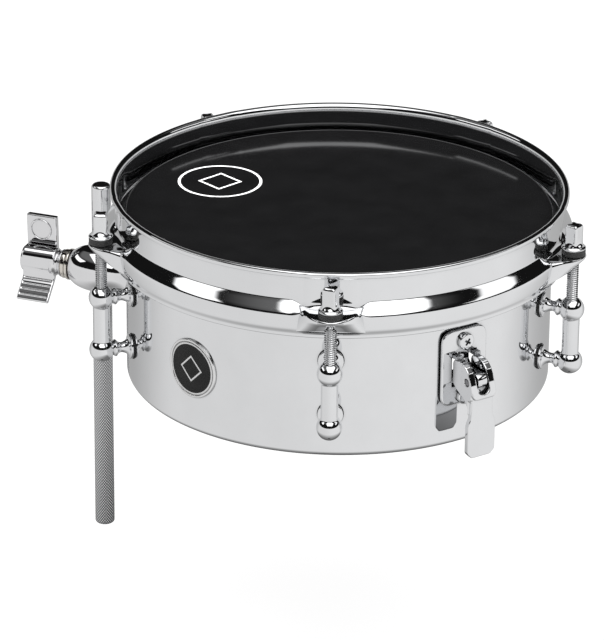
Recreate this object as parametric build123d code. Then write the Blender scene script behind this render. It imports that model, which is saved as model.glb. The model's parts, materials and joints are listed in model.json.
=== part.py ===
from build123d import *
import math
import os

# Single-headed 8 inch snare timbale: steel shell, five tube lugs, pressed counter hoop
# with pulled-out ears, side mounting bracket with its rod, and a throw-off that lowers
# a set of snare wires from under the head.
#
# Frame: origin at the centre of the shell's open lower edge, +Z up along the drum
# axis, front at -Y. Azimuths are degrees about +Z from +X. Millimetres. Pieces that sit
# at one azimuth are built with local +X pointing radially outwards, then turned by at().

# ---- driving dimensions ----
SHELL_R = 101.0             # outer radius
SHELL_T = 1.2               # wall
SHELL_H = 82.5
SHELL_RI = SHELL_R - SHELL_T

LUG_NAMES = ["front", "right", "back_right", "back_left", "left"]
LUG_AZ = {name: -90.0 + 72.0 * i for i, name in enumerate(LUG_NAMES)}
LUG_Z = (22.0, 48.66)       # lower and upper post
ROD_CIRCLE_R = 115.7        # circle of the tension rods
ROD_R = 2.75                # tension rod, modelled as a plain shank

BRACKET_AZ = (LUG_AZ["back_left"] + LUG_AZ["left"]) / 2
BRACKET_Z = 31.5
BRACKET_SCREW_Z = (BRACKET_Z - 12.2, BRACKET_Z + 12.2)
MOUNT_R = 122.2             # axis of the mounting rod
MOUNT_ROD_R = 4.7625        # 3/8 inch rod
EYE_SHANK_R = 3.95          # threaded shank of the eye bolt

STRAINER_AZ = (LUG_AZ["front"] + LUG_AZ["right"]) / 2
STRAINER_SCREW_Z = (25.0, 52.4)
HINGE_X, HINGE_Z, HINGE_R = -90.0, 60.0, 2.0    # snare frame hinge, across the drum

WALL_SEAT = SHELL_RI - 0.15     # washer seat just inside the shell wall
LINED_SEAT = SHELL_RI - 2.0     # the same where the hinge bracket lines the wall


# ---- helpers ----
def clean(points):
    """Drop points that repeat the one before."""
    out = []
    for p in points:
        if not out or abs(p[0] - out[-1][0]) + abs(p[1] - out[-1][1]) > 1e-6:
            out.append(p)
    if abs(out[0][0] - out[-1][0]) + abs(out[0][1] - out[-1][1]) < 1e-6:
        out.pop()
    return out


def face_xz(points):
    """Flat face in the XZ plane from (x, z) points."""
    return make_face(Polyline(*[(x, 0, z) for x, z in clean(points)], close=True))


def turned(points):
    """Solid of revolution about Z from (radius, z) points."""
    return revolve(face_xz(points), axis=Axis.Z)


def turned_x(points, z=0.0):
    """Solid of revolution about a line along X at height z, from (x, radius) points."""
    return Pos(0, 0, z) * revolve(face_xz(points), axis=Axis.X)


def plate_xz(points, y0, y1):
    """Plate with an (x, z) outline, reaching from y0 to y1."""
    return Pos(0, y0, 0) * extrude(face_xz(points), amount=y1 - y0, dir=(0, 1, 0))


def plate_yz(points, x0, x1):
    """Plate with a (y, z) outline, reaching from x0 to x1."""
    face = make_face(Polyline(*[(x0, y, z) for y, z in points], close=True))
    return extrude(face, amount=x1 - x0, dir=(1, 0, 0))


def mirrored(half):
    """Close a (y, z) half outline with its mirror image across y = 0."""
    return half + [(-y, z) for y, z in reversed(half)]


def block(x0, x1, y0, y1, z0, z1):
    centre = Pos((x0 + x1) / 2, (y0 + y1) / 2, (z0 + z1) / 2)
    return centre * Box(x1 - x0, y1 - y0, z1 - z0)


def cyl_x(x0, x1, radius, z=0.0):
    return Pos((x0 + x1) / 2, 0, z) * Rot(0, 90, 0) * Cylinder(radius, x1 - x0)


def cyl_y(y0, y1, radius, x, z):
    return Pos(x, (y0 + y1) / 2, z) * Rot(90, 0, 0) * Cylinder(radius, y1 - y0)


def cyl_z(z0, z1, radius, x=0.0, y=0.0):
    return Pos(x, y, (z0 + z1) / 2) * Cylinder(radius, z1 - z0)


def ring_x(x0, x1, bore_r, outer_r, z):
    return cyl_x(x0, x1, outer_r, z) - cyl_x(x0 - 1, x1 + 1, bore_r, z)


def arc(cx, cz, radius, a0, a1, n):
    """n + 1 points on an arc from angle a0 to a1, in degrees."""
    angles = [math.radians(a0 + (a1 - a0) * i / n) for i in range(n + 1)]
    return [(cx + radius * math.cos(a), cz + radius * math.sin(a)) for a in angles]


def at(azimuth, piece):
    return Rot(0, 0, azimuth) * piece


def save(name, pieces):
    if not isinstance(pieces, list):
        pieces = [pieces]
    found = [solid for piece in pieces for solid in piece.solids()]
    shape = found[0] if len(found) == 1 else Compound(children=found)
    shape.label = name
    export_step(shape, "parts/" + name + ".step")


# ---- screws and washers shared by the fittings ----
def cross_recess(x0, x1, z):
    """Cross drive cutter along X."""
    width, length = 0.9, 3.8
    return (block(x0, x1, -width / 2, width / 2, z - length / 2, z + length / 2)
            + block(x0, x1, -length / 2, length / 2, z - width / 2, z + width / 2))


def inner_screw(z, seat, tip, shank_r, head_r, head_h):
    """Pan-head screw put in from inside the shell, pointing outwards.

    seat is the wall seat; the head bears on the lock washer inside it.
    """
    under = seat - 1.05
    screw = turned_x([
        (under - head_h, 0), (under - head_h, head_r * 0.55),
        (under - head_h * 0.75, head_r * 0.86), (under - head_h * 0.3, head_r),
        (under, head_r), (under, shank_r), (tip - 0.5, shank_r), (tip, shank_r - 0.5), (tip, 0),
    ], z)
    return screw - cross_recess(under - head_h - 1, under - head_h + 1.3, z)


def lock_washer(z, seat, bore_r):
    return ring_x(seat - 1.0, seat - 0.02, bore_r, 4.2, z)


# ---- shell ----
ROLL_R = 3.0                # rounded lower edge
FLANGE_RI = 95.4            # inner radius of the turned-in lower flange
RIM_R = 0.9                 # rounding of the upper edge, outside
RIM_RI = 0.3                # and inside
LUG_HOLE_R = 2.3


def make_shell():
    roll_x = SHELL_R - ROLL_R
    shell = turned(
        [(FLANGE_RI, 0.0), (roll_x, 0.0)]
        + arc(roll_x, ROLL_R, ROLL_R, -90, 0, 10)[1:]
        + [(SHELL_R, SHELL_H - 1.1)]
        + arc(SHELL_R - RIM_R, SHELL_H - RIM_R, RIM_R, 0, 90, 6)[1:]
        + arc(SHELL_RI + RIM_RI, SHELL_H - RIM_RI, RIM_RI, 90, 180, 3)
        + arc(roll_x, ROLL_R, ROLL_R - SHELL_T, 0, -90, 10)
        + [(FLANGE_RI, SHELL_T)])
    for az in LUG_AZ.values():
        for z in LUG_Z:
            shell -= at(az, cyl_x(SHELL_RI - 3, SHELL_R + 3, LUG_HOLE_R, z))
    for z in BRACKET_SCREW_Z:
        shell -= at(BRACKET_AZ, cyl_x(SHELL_RI - 3, SHELL_R + 3, 2.2, z))
    for z in STRAINER_SCREW_Z:
        shell -= at(STRAINER_AZ, cyl_x(SHELL_RI - 4, SHELL_R + 3, 2.2, z))
    # window behind the throw-off
    return shell - at(STRAINER_AZ, block(96, 104, -7.8, 7.8, 37.6, 48.2))


# ---- drumhead and flesh hoop ----
FILM_T = 0.3
FILM_GAP = 0.06             # between film and shell side
FILM_Z = SHELL_H + 0.05     # underside of the film
FILM_SKIRT_Z = 77.4         # lower end of the film's skirt


def make_film():
    rim_x, rim_z = SHELL_R - RIM_R, SHELL_H - RIM_R
    inner_r = RIM_R + FILM_GAP
    skirt_r = SHELL_R + FILM_GAP
    return turned(
        [(0, FILM_Z), (rim_x, FILM_Z)]
        + arc(rim_x, rim_z, inner_r, 88, 0, 6)
        + [(skirt_r, FILM_SKIRT_Z), (skirt_r + FILM_T, FILM_SKIRT_Z)]
        + arc(rim_x, rim_z, inner_r + FILM_T, 0, 88, 6)
        + [(rim_x, FILM_Z + FILM_T), (0, FILM_Z + FILM_T)])


# (radius, z)
FLESH_HOOP = [(101.8, 70.0), (102.3, 69.4), (106.0, 69.4), (106.6, 70.0),
              (106.6, 75.6), (105.9, 76.4), (102.6, 76.4), (101.8, 75.6)]

# ---- counter hoop ----
HOOP_TOP = 94.3
LIP_R = 1.1                 # rounding of the top edge
EAR_BOTTOM = 65.8           # lower end of the ears, on the skirt
EAR_TOP = 76.3
EAR_REACH = 122.0
EAR_T = 1.5

# (radius, z), from the inside up over the top and down the outside to the skirt and back
HOOP_PROFILE = (
    [(104.5, 80.2), (104.5, HOOP_TOP - LIP_R)]
    + arc(105.6, HOOP_TOP - LIP_R, LIP_R, 180, 90, 5)[1:]
    + [(107.2, HOOP_TOP)]
    + arc(107.2, HOOP_TOP - LIP_R, LIP_R, 90, 0, 5)[1:]
    + arc(107.4, 92.5, 0.9, 0, -90, 4)[1:]
    + [(106.5, 91.6), (106.1, 91.1), (106.0, 90.4)]
    + arc(107.3, 80.4, 1.3, 180, 218, 4)
    + arc(107.6, 73.04, 3.0, 38, 0, 6)
    + [(110.5, 71.2), (110.3, 69.4), (109.95, 67.6), (109.4, 66.0), (108.9, 64.8), (108.5, 63.8)]
    + arc(108.05, 63.3, 0.55, 10, -180, 6)
    + [(108.2, 65.4), (108.7, 67.8), (108.95, 70.0)]
    + arc(107.6, 73.04, 1.45, 0, 38, 4)
    + [(105.4, 78.2), (104.8, 79.0)])

# (x, y) outlines of the ear and of its hollow, at their lower and upper ends
EAR_LOW = [(107.6, -14.5), (109.6, -14.5), (110.4, 0.0), (109.6, 14.5), (107.6, 14.5)]
EAR_HIGH = [(107.2, -10.6), (120.4, -9.4), (EAR_REACH, 0.0), (120.4, 9.4), (107.2, 10.6)]
HOLLOW_LOW = [(100.0, -14.2), (112.0, -13.6), (113.0, 0.0), (112.0, 13.6), (100.0, 14.2)]
HOLLOW_HIGH = [(100.0, -9.4), (126.0, -8.0), (127.5, 0.0), (126.0, 8.0), (100.0, 9.4)]


def loft_between(z0, outline0, z1, outline1):
    """Loft between two horizontal (x, y) outlines."""
    return loft([make_face(Polyline(*[(x, y, z) for x, y in outline], close=True))
                 for z, outline in ((z0, outline0), (z1, outline1))])


def make_counter_hoop():
    hoop = turned(HOOP_PROFILE)
    ear = loft_between(EAR_BOTTOM, EAR_LOW, EAR_TOP, EAR_HIGH)
    hollow = loft_between(EAR_BOTTOM - 1.6, HOLLOW_LOW, EAR_TOP - EAR_T, HOLLOW_HIGH)
    for az in LUG_AZ.values():
        hoop += at(az, ear)
    for az in LUG_AZ.values():
        cavity = hollow & block(100, 130, -20, 20, EAR_BOTTOM, 78)
        kept_skirt = block(95, 108.9, -20, 20, 74.4, 80)
        hoop -= at(az, cavity - kept_skirt)
        hoop -= at(az, cyl_z(60, 80, ROD_R + 0.35, x=ROD_CIRCLE_R))
        hoop -= at(az, cyl_z(EAR_TOP, 82, 5.9, x=ROD_CIRCLE_R))     # washer seat
    return hoop


# ---- tension rods and their washers ----
ROD_BOTTOM = 39.0
COLLAR_Z = 79.55            # underside of the rod's collar
HEAD_SQUARE = 6.35          # across the flats of the square head


def make_tension_rod():
    body = turned([(0, ROD_BOTTOM), (ROD_R - 0.7, ROD_BOTTOM), (ROD_R, ROD_BOTTOM + 0.7),
                   (ROD_R, COLLAR_Z), (5.75, COLLAR_Z), (5.75, 80.15), (5.3, 80.6),
                   (4.2, 81.3), (3.7, 82.2), (0, 82.2)])
    head_square = Pos(0, 0, 86.6) * Box(HEAD_SQUARE, HEAD_SQUARE, 9.8)
    head_round = turned([(0, 80.5), (4.55, 80.5), (4.55, 90.0),
                         (3.9, 91.1), (2.6, 91.6), (0, 91.8)])
    rod = body + (head_square & head_round)
    return Pos(ROD_CIRCLE_R, 0, 0) * Rot(0, 0, -18) * rod


def make_nylon_washer():
    bottom, bore_r = EAR_TOP + 0.03, ROD_R + 0.3
    return Pos(ROD_CIRCLE_R, 0, 0) * turned([
        (bore_r, bottom), (5.5, bottom), (5.6, EAR_TOP + 0.3),
        (5.6, 79.2), (5.3, 79.5), (bore_r, 79.5)])


# ---- tube lugs ----
LUG_SEAT = 101.32           # foot of the posts, on the gasket
BALL_R = 6.0
TUBE_R = 4.0

# (x, radius), from the foot outwards
LUG_POST = [
    (LUG_SEAT, 0), (LUG_SEAT, 5.5), (101.75, 5.85), (102.6, 5.85), (102.95, 5.5), (103.1, 4.7),
    (103.6, 4.1), (104.6, 3.15), (105.6, 2.6), (106.6, 2.4), (107.6, 2.55), (108.3, 2.95),
    (108.8, 3.55), (109.1, 3.9), (109.9, 3.9), (110.3, 3.5), (112.5, 3.0), (112.5, 0)]


def make_lug():
    low, high = LUG_Z
    lug = Pos(ROD_CIRCLE_R, 0, 0) * turned([(0, low), (TUBE_R, low), (TUBE_R, high), (0, high)])
    for z in LUG_Z:
        lug += Pos(ROD_CIRCLE_R, 0, z) * Sphere(BALL_R)
        lug += turned_x(LUG_POST, z)
        lug -= cyl_x(100, 110.0, 2.0, z)                        # screw hole
    lug -= cyl_z(35.5, 60, ROD_R + 0.06, x=ROD_CIRCLE_R)        # bore for the tension rod
    lug -= cyl_z(14, 17.6, 1.1, x=ROD_CIRCLE_R)                 # hole under the lower ball
    return lug


def make_lug_gasket(z):
    ring = ring_x(100.4, LUG_SEAT - 0.02, LUG_HOLE_R, 6.15, z)
    return ring - cyl_z(-5, 90, SHELL_R + 0.02)


def save_lugs():
    lug = make_lug()
    gaskets, washers, screws = [], [], []
    for name, az in LUG_AZ.items():
        save("lug_" + name, at(az, lug))
        seat = LINED_SEAT if name == "back_left" else WALL_SEAT
        for z in LUG_Z:
            gaskets.append(at(az, make_lug_gasket(z)))
            washers.append(at(az, lock_washer(z, seat, bore_r=2.2)))
            screws.append(at(az, inner_screw(z, seat, tip=109.0, shank_r=1.95,
                                             head_r=4.0, head_h=2.5)))
    save("lug_gaskets", gaskets)
    save("lug_lock_washers", washers)
    save("lug_screws", screws)


# ---- badge ----
BADGE_AZ, BADGE_Z, BADGE_R = -129.8, 32.5, 14.4


def curved_disc(radius, inner_r, outer_r):
    """Round disc bent to the shell, between two radii from the drum axis."""
    tube = cyl_z(0, 80, outer_r) - cyl_z(-1, 81, inner_r)
    return cyl_x(99, 104, radius, BADGE_Z) & tube


def make_badge_plate():
    disc = curved_disc(BADGE_R, SHELL_R + 0.03, 102.1)
    recess = cyl_x(99, 104, BADGE_R - 1.6, BADGE_Z) - cyl_z(-1, 81, 101.55)
    return disc - recess


# ---- mounting bracket ----
CAST_SEAT = 101.4           # back of the casting, on its gasket
FOOT_OUT = 104.2            # outer face of the slot-shaped foot
BOSS_END = 138.0            # outer end of the egg-shaped boss

# (x, radius) points the boss outline passes through
BOSS_CURVE = [(103.6, 11.6), (106.6, 9.9), (111.0, 9.3), (117.0, 10.4),
              (123.0, 11.5), (129.0, 11.1), (134.5, 9.4), (BOSS_END, 6.9)]


def make_bracket_casting():
    curve = Spline(*BOSS_CURVE)
    outline = [curve @ (i / 24) for i in range(25)]
    casting = turned_x([(CAST_SEAT, 0), (CAST_SEAT, 11.6)] + [(p.X, p.Y) for p in outline]
                       + [(BOSS_END, 0)], BRACKET_Z)
    foot = extrude(SlotOverall(36.0, 17.0), amount=(FOOT_OUT - CAST_SEAT) / 2, both=True)
    casting += Pos((CAST_SEAT + FOOT_OUT) / 2, 0, BRACKET_Z) * Rot(0, 90, 0) * foot
    casting -= block(108, 140, -14, 14, BRACKET_Z + 10.1, BRACKET_Z + 16)   # flat top
    casting -= cyl_x(100, 129.6, 8.1, BRACKET_Z)                # cored from behind, for the eye
    casting -= cyl_x(128, 140, EYE_SHANK_R + 0.25, BRACKET_Z)
    casting -= cyl_z(0, 60, MOUNT_ROD_R + 0.08, x=MOUNT_R)
    for z in BRACKET_SCREW_Z:
        casting -= cyl_x(100, 103.6, 1.7, z)
    return casting


def make_bracket_gasket():
    outer = CAST_SEAT - 0.02
    blank = extrude(SlotOverall(37.0, 18.0) + Circle(12.3), amount=(outer - 100.0) / 2, both=True)
    gasket = Pos(100.7, 0, BRACKET_Z) * Rot(0, 90, 0) * blank
    gasket = gasket & block(90, outer, -20, 20, 0, 70)
    gasket -= cyl_z(-5, 90, SHELL_R + 0.02)
    gasket -= cyl_x(98, 104, 8.3, BRACKET_Z)
    for z in BRACKET_SCREW_Z:
        gasket -= cyl_x(98, 104, 2.1, z)
    return gasket


# The eye goes round the mounting rod; its shank comes out through the boss.
EYE_H = 6.0
EYE_TRAVEL = 1.0            # lengthening of the eye's hole
NECK_END = 129.4            # the flattened neck ends, the round shank starts
SHANK_TIP = 160.2


def make_eye_bolt():
    eye = Pos(MOUNT_R + 0.3, 0, BRACKET_Z) * Cylinder(7.3, EYE_H)
    shank = turned_x([(127.0, 0), (127.0, 4.6), (128.6, 4.6), (NECK_END, EYE_SHANK_R),
                      (SHANK_TIP - 0.9, EYE_SHANK_R), (SHANK_TIP, EYE_SHANK_R - 0.9),
                      (SHANK_TIP, 0)], BRACKET_Z)
    shank = shank & (
        block(120, NECK_END, -10, 10, BRACKET_Z - EYE_H / 2, BRACKET_Z + EYE_H / 2)
        + block(NECK_END, 161, -10, 10, BRACKET_Z - 10, BRACKET_Z + 10))
    hole_r = MOUNT_ROD_R + 0.07
    hole = (cyl_z(20, 45, hole_r, x=MOUNT_R) + cyl_z(20, 45, hole_r, x=MOUNT_R + EYE_TRAVEL)
            + block(MOUNT_R, MOUNT_R + EYE_TRAVEL, -hole_r, hole_r, 20, 45))
    return (eye + shank) - hole


def make_flat_washer():
    return ring_x(BOSS_END + 0.03, 139.5, EYE_SHANK_R + 0.2, 7.7, BRACKET_Z)


def make_spring_washer():
    washer = ring_x(139.55, 141.9, EYE_SHANK_R + 0.2, 7.2, BRACKET_Z)
    return washer - Pos(140.7, 0, BRACKET_Z + 6) * Rot(0, 0, 28) * Box(8, 0.9, 8)


# Wing nut, about its own axis: upright upper wing at the back (-y), lower wing swept
# out and down to the front (+y).
NUT_IN, NUT_OUT = 142.0, 163.2
# (x, radius)
NUT_BARREL = [(NUT_IN, 0), (NUT_IN, 6.6), (142.6, 6.9), (143.4, 6.2), (144.6, 5.9),
              (145.5, 6.4), (146.3, 6.9), (162.4, 6.9), (NUT_OUT, 6.2), (NUT_OUT, 0)]
# (y, z)
UPPER_WING = [(-2.9, 0.0), (-3.0, 7.4), (-2.35, 21.4), (-2.9, 22.1),
              (-5.2, 22.1), (-5.8, 21.4), (-6.4, 4.0), (-5.4, 0.0)]
LOWER_WING = [
    (0.0, 7.4), (2.6, 7.0), (4.6, 6.0), (5.8, 4.7), (6.35, 3.4), (6.5, 1.5), (6.4, -0.5),
    (6.0, -2.5), (5.6, -4.5), (5.5, -6.2), (5.9, -7.4), (7.7, -9.2), (9.8, -11.3),
    (11.9, -13.4), (13.6, -15.1), (14.0, -15.8), (13.3, -16.6), (12.4, -16.4), (10.3, -14.4),
    (8.2, -12.3), (6.1, -10.2), (4.1, -8.3), (2.9, -6.9), (1.6, -4.0), (-2.0, 0.0)]
GROOVES = 4
GROOVE_STEP = 2.1           # in both y and z


def make_wing_nut():
    nut = (turned_x(NUT_BARREL) + plate_yz(UPPER_WING, 147.3, 163.0)
           + plate_yz(LOWER_WING, 145.2, 162.0))
    for i in range(GROOVES):
        y, z = 6.27 + GROOVE_STEP * i, -7.18 - GROOVE_STEP * i
        nut -= Pos(153.6, y, z) * Rot(0, 90, 0) * Cylinder(0.7, 15.2)
    nut -= cyl_x(NUT_IN - 1, NUT_OUT + 1, EYE_SHANK_R + 0.05)
    # raised ring on the front of the upper wing
    nut += Pos(155.4, -2.9, 14.8) * Rot(90, 0, 0) * (Cylinder(5.5, 1.0) - Cylinder(4.9, 3.0))
    return Pos(0, 0, BRACKET_Z) * nut


MOUNT_TOP, MOUNT_BOTTOM = 76.1, -105.4
MOUNT_TIP_R = 1.6           # rounding of the rod's top
KNURL_R = 4.80              # crests of the knurl, modelled plain
KNURL_TOP = 16.0            # just under the bracket


def make_mount_rod():
    return Pos(MOUNT_R, 0, 0) * turned(
        [(0, MOUNT_BOTTOM), (KNURL_R - 0.8, MOUNT_BOTTOM), (KNURL_R, MOUNT_BOTTOM + 0.8),
         (KNURL_R, KNURL_TOP), (MOUNT_ROD_R, KNURL_TOP + 0.8),
         (MOUNT_ROD_R, MOUNT_TOP - MOUNT_TIP_R)]
        + arc(MOUNT_ROD_R - MOUNT_TIP_R, MOUNT_TOP - MOUNT_TIP_R, MOUNT_TIP_R, 0, 90, 5)[1:]
        + [(0, MOUNT_TOP)])


# ---- throw-off: base plate with its hinge tongue ----
PLATE_IN, PLATE_OUT = 101.15, 102.95
PIN_X, PIN_Z, PIN_R = 114.2, 36.9, 1.75     # lever pin
TONGUE_HALF_W = 2.5
TONGUE_Z = (29.5, 43.7)

# (x, z)
TONGUE = (
    [(PLATE_IN, TONGUE_Z[0]), (PLATE_IN, TONGUE_Z[1]), (105.0, TONGUE_Z[1]),
     (110.0, 42.9), (113.2, 41.6)]
    + arc(PIN_X, PIN_Z, 3.6, 65, -70, 10)
    + [(110.0, 32.4), (105.5, 30.7), (103.6, TONGUE_Z[0])])


def make_strainer_base():
    outline = Plane.YZ * (Pos(0, 39.6) * RectangleRounded(24.8, 37.4, 6.0))
    plate = Pos(PLATE_IN, 0, 0) * extrude(outline, amount=PLATE_OUT - PLATE_IN)
    plate = fillet(plate.edges().group_by(Axis.X)[-1], 0.6)     # outer edge
    opening = block(100, 104, -7.3, 7.3, 30.4, 47.3)
    base = (plate - opening) + plate_xz(TONGUE, -TONGUE_HALF_W, TONGUE_HALF_W)
    base += block(PLATE_IN, PLATE_OUT, -TONGUE_HALF_W, TONGUE_HALF_W, *TONGUE_Z)
    base -= cyl_y(-5, 5, PIN_R + 0.04, PIN_X, PIN_Z)
    for z in STRAINER_SCREW_Z:
        base -= cyl_x(99, 105, 2.15, z)
    return base


def make_strainer_screw(z):
    """Pan-head cross screw put in from outside."""
    under = PLATE_OUT + 0.02
    screw = turned_x([(92.2, 0), (92.2, 1.5), (92.7, 1.95), (under, 1.95), (under, 4.0),
                      (104.5, 4.0), (105.0, 3.75), (105.3, 3.0), (105.4, 1.6), (105.42, 0)], z)
    return screw - cross_recess(104.2, 106, z)


def make_strainer_nut(z):
    corner_r = 7.0 / math.sqrt(3)       # 7 mm across the flats
    corners = [math.radians(60 * i) for i in range(6)]
    outline = [(corner_r * math.cos(a), corner_r * math.sin(a) + z) for a in corners]
    return plate_yz(outline, 95.2, 98.45) - cyl_x(94.2, 99.45, 2.0, z)


# ---- throw-off lever ----
CHEEK_IN, CHEEK_OUT = 3.4, 6.7      # half widths inside and outside the cheeks
BLADE_IN, BLADE_OUT = 115.4, 118.0

# (x, z)
CHEEK = [
    (103.25, 33.2), (103.25, 42.6), (103.7, 44.1), (104.8, 44.95), (107.8, 45.1), (110.4, 44.9),
    (112.8, 43.8), (115.0, 41.8), (116.9, 38.6), (118.2, 35.4), (119.4, 32.8), (120.2, 31.4),
    (120.2, 30.2), (119.3, 29.4), (BLADE_OUT, 29.2), (BLADE_OUT, 19.0), (BLADE_IN, 19.0),
    (BLADE_IN, 24.6), (113.9, 26.4), (111.2, 28.4), (107.6, 30.2), (105.2, 31.6)]
# (y, z), the -y half of each outline
BLADE_HALF = [(-6.0, 29.2), (-6.0, 24.0), (-5.9, 21.5), (-6.2, 19.4), (-7.1, 17.6),
              (-7.6, 15.8), (-7.6, 2.4), (-5.2, -0.2)]
HORSESHOE_HALF = [(-7, 50), (-7, 34.4), (-6.8, 32.8), (-6.2, 31.2), (-6.0, 29.2), (-6.0, 18.0)]


def make_lever():
    lever = plate_xz(CHEEK, -CHEEK_OUT, CHEEK_OUT)
    lever -= extrude(Plane.YZ * (Pos(0, 42.45) * Rectangle(2 * CHEEK_IN, 15.1)
                                 + Pos(0, 34.9) * Circle(CHEEK_IN)), amount=126)
    lever -= block(100, BLADE_IN, -CHEEK_IN, CHEEK_IN, 15, 46)
    # trims the lower corners of the horseshoe down to the narrow neck
    trim = plate_yz(mirrored(HORSESHOE_HALF), 115.2, 127.2)
    blade = plate_yz(mirrored(BLADE_HALF), BLADE_IN, BLADE_OUT)
    lever = (lever & (trim + block(100, 115.2, -7, 7, 19, 50))) + blade
    return lever - cyl_y(-8, 8, PIN_R + 0.02, PIN_X, PIN_Z)


# ---- snare frame, hinged across the drum ----
RAIL_Z0, RAIL_Z1 = 76.3, 77.9
SHELF_Z0, SHELF_Z1 = 45.12, 46.7
FRAME_HALF_W = 7.0
FLANGE_Y = 5.6              # inner face of the side flanges
LEG_IN, LEG_OUT = 86.4, 88.0
PAD_X = (-58.0, 64.0)       # seats for the wire end plates
PAD_SCREW_Y = (-4.0, 4.0)

# (x, z)
FRAME_FLANGE = ([(-94.0, 77.0), (-94.4, 60.0)] + arc(HINGE_X, HINGE_Z, 4.4, 180, 360, 8)
                + [(-82.0, 71.5), (LEG_IN, 71.5), (LEG_IN, 77.0)])


def make_snare_frame():
    half = FRAME_HALF_W
    rail = block(-94.0, LEG_OUT, -half, half, RAIL_Z0, RAIL_Z1)
    flanges = plate_xz(FRAME_FLANGE, -half, -FLANGE_Y) + plate_xz(FRAME_FLANGE, FLANGE_Y, half)
    leg = block(LEG_IN, LEG_OUT, -half, half, SHELF_Z0, 77.0)
    shelf = block(LEG_IN, 98.6, -half, half, SHELF_Z0, SHELF_Z1)
    prongs = (block(98.0, 106.2, 3.5, 6.7, SHELF_Z0, SHELF_Z1)
              + block(98.0, 106.2, -6.7, -3.5, SHELF_Z0, SHELF_Z1))
    frame = rail + flanges + leg + shelf + prongs
    frame -= cyl_y(-9, 9, HINGE_R + 0.05, HINGE_X, HINGE_Z)
    for x in PAD_X:
        frame += block(x - 4.0, x + 4.0, -half, half, RAIL_Z1 - 0.2, 79.2)
        for y in PAD_SCREW_Y:
            frame -= cyl_z(70, 85, 1.3, x, y)
    for x in (-30.0, 0.0, 30.0):
        frame -= cyl_z(70, 85, 3.6, x)
    return frame


# ---- snare wires and their end plates ----
WIRES = 8
WIRE_PITCH = 2.9
WIRE_R = 1.05
# (radius, z)
PLATE_SCREW = [(0, 76.9), (1.25, 76.9), (1.25, 80.03), (2.4, 80.03),
               (2.4, 80.6), (1.6, 81.2), (0, 81.3)]


def make_end_plate(x):
    plate = block(x - 6.2, x + 6.2, -11.5, 11.5, 79.22, 80.0)
    for y in PAD_SCREW_Y:
        plate -= cyl_z(78, 82, 1.6, x, y)
    return plate


def make_wire(i):
    y = (i - (WIRES - 1) / 2) * WIRE_PITCH
    x0, x1 = PAD_X
    wire = Pos(0, y, 0) * cyl_x(x0 + 5.0, x1 - 5.0, WIRE_R, 81.2)
    tails = (block(x0 + 3.0, x0 + 5.4, y - 0.5, y + 0.5, 80.03, 81.3)
             + block(x1 - 5.4, x1 - 3.0, y - 0.5, y + 0.5, 80.03, 81.3))
    return wire + tails


# ---- hinge bracket, inside the wall on the back left lug's screws ----
# (x, z)
HINGE_EAR = ([(-98.2, 52.0), (-98.2, 66.0), (-93.0, 66.0)]
             + arc(HINGE_X, HINGE_Z, 4.6, 100, -80, 8) + [(-94.0, 53.0)])


def make_hinge_bracket():
    tube = cyl_z(14.0, 66.0, SHELL_RI - 0.2) - cyl_z(13.0, 67.0, SHELL_RI - 1.75)
    bracket = tube & block(-105, -90, -9.0, 9.0, 14.0, 66.0)
    bracket += plate_xz(HINGE_EAR, 7.3, 8.9) + plate_xz(HINGE_EAR, -8.9, -7.3)
    bracket -= cyl_y(-12, 12, HINGE_R + 0.02, HINGE_X, HINGE_Z)
    for z in LUG_Z:
        bracket -= cyl_x(-104, -90, LUG_HOLE_R, z)
    return bracket


def make_hinge_pin():
    return (cyl_y(-9.6, 9.6, HINGE_R, HINGE_X, HINGE_Z)
            + cyl_y(-10.6, -9.2, 3.2, HINGE_X, HINGE_Z)
            + cyl_y(9.2, 10.6, 3.2, HINGE_X, HINGE_Z))


# ---- build and write every piece ----
os.makedirs("parts", exist_ok=True)

save("shell", make_shell())
save("drumhead_film", make_film())
save("flesh_hoop", turned(FLESH_HOOP))
save("counter_hoop", make_counter_hoop())
for lug_name, lug_az in LUG_AZ.items():
    save("tension_rod_" + lug_name, at(lug_az, make_tension_rod()))
save("nylon_washers", [at(az, make_nylon_washer()) for az in LUG_AZ.values()])
save_lugs()
save("badge_plate", at(BADGE_AZ, make_badge_plate()))
save("badge_inlay", at(BADGE_AZ, curved_disc(BADGE_R - 1.65, 101.57, 101.95)))

BRACKET_PIECES = {
    "bracket_casting": [make_bracket_casting()],
    "bracket_gasket": [make_bracket_gasket()],
    "bracket_screws": [inner_screw(z, WALL_SEAT, tip=103.2, shank_r=1.65, head_r=3.8, head_h=2.4)
                       for z in BRACKET_SCREW_Z],
    "bracket_lock_washers": [lock_washer(z, WALL_SEAT, bore_r=1.9) for z in BRACKET_SCREW_Z],
    "eye_bolt": [make_eye_bolt()],
    "flat_washer": [make_flat_washer()],
    "spring_washer": [make_spring_washer()],
    "wing_nut": [make_wing_nut()],
    "mount_rod": [make_mount_rod()],
}
STRAINER_PIECES = {
    "strainer_base": [make_strainer_base()],
    "strainer_screws": [make_strainer_screw(z) for z in STRAINER_SCREW_Z],
    "strainer_washers": [ring_x(98.5, 99.5, 2.2, 4.4, z) for z in STRAINER_SCREW_Z],
    "strainer_nuts": [make_strainer_nut(z) for z in STRAINER_SCREW_Z],
    "throw_lever": [make_lever()],
    "lever_pin": [cyl_y(-6.2, 6.2, PIN_R, PIN_X, PIN_Z)],
    "snare_frame": [make_snare_frame()],
    "snare_end_plates": [make_end_plate(x) for x in PAD_X],
    "snare_wires": [make_wire(i) for i in range(WIRES)],
    "snare_plate_screws": [Pos(x, y, 0) * turned(PLATE_SCREW)
                           for x in PAD_X for y in PAD_SCREW_Y],
    "hinge_bracket": [make_hinge_bracket()],
    "hinge_pin": [make_hinge_pin()],
}
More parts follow.
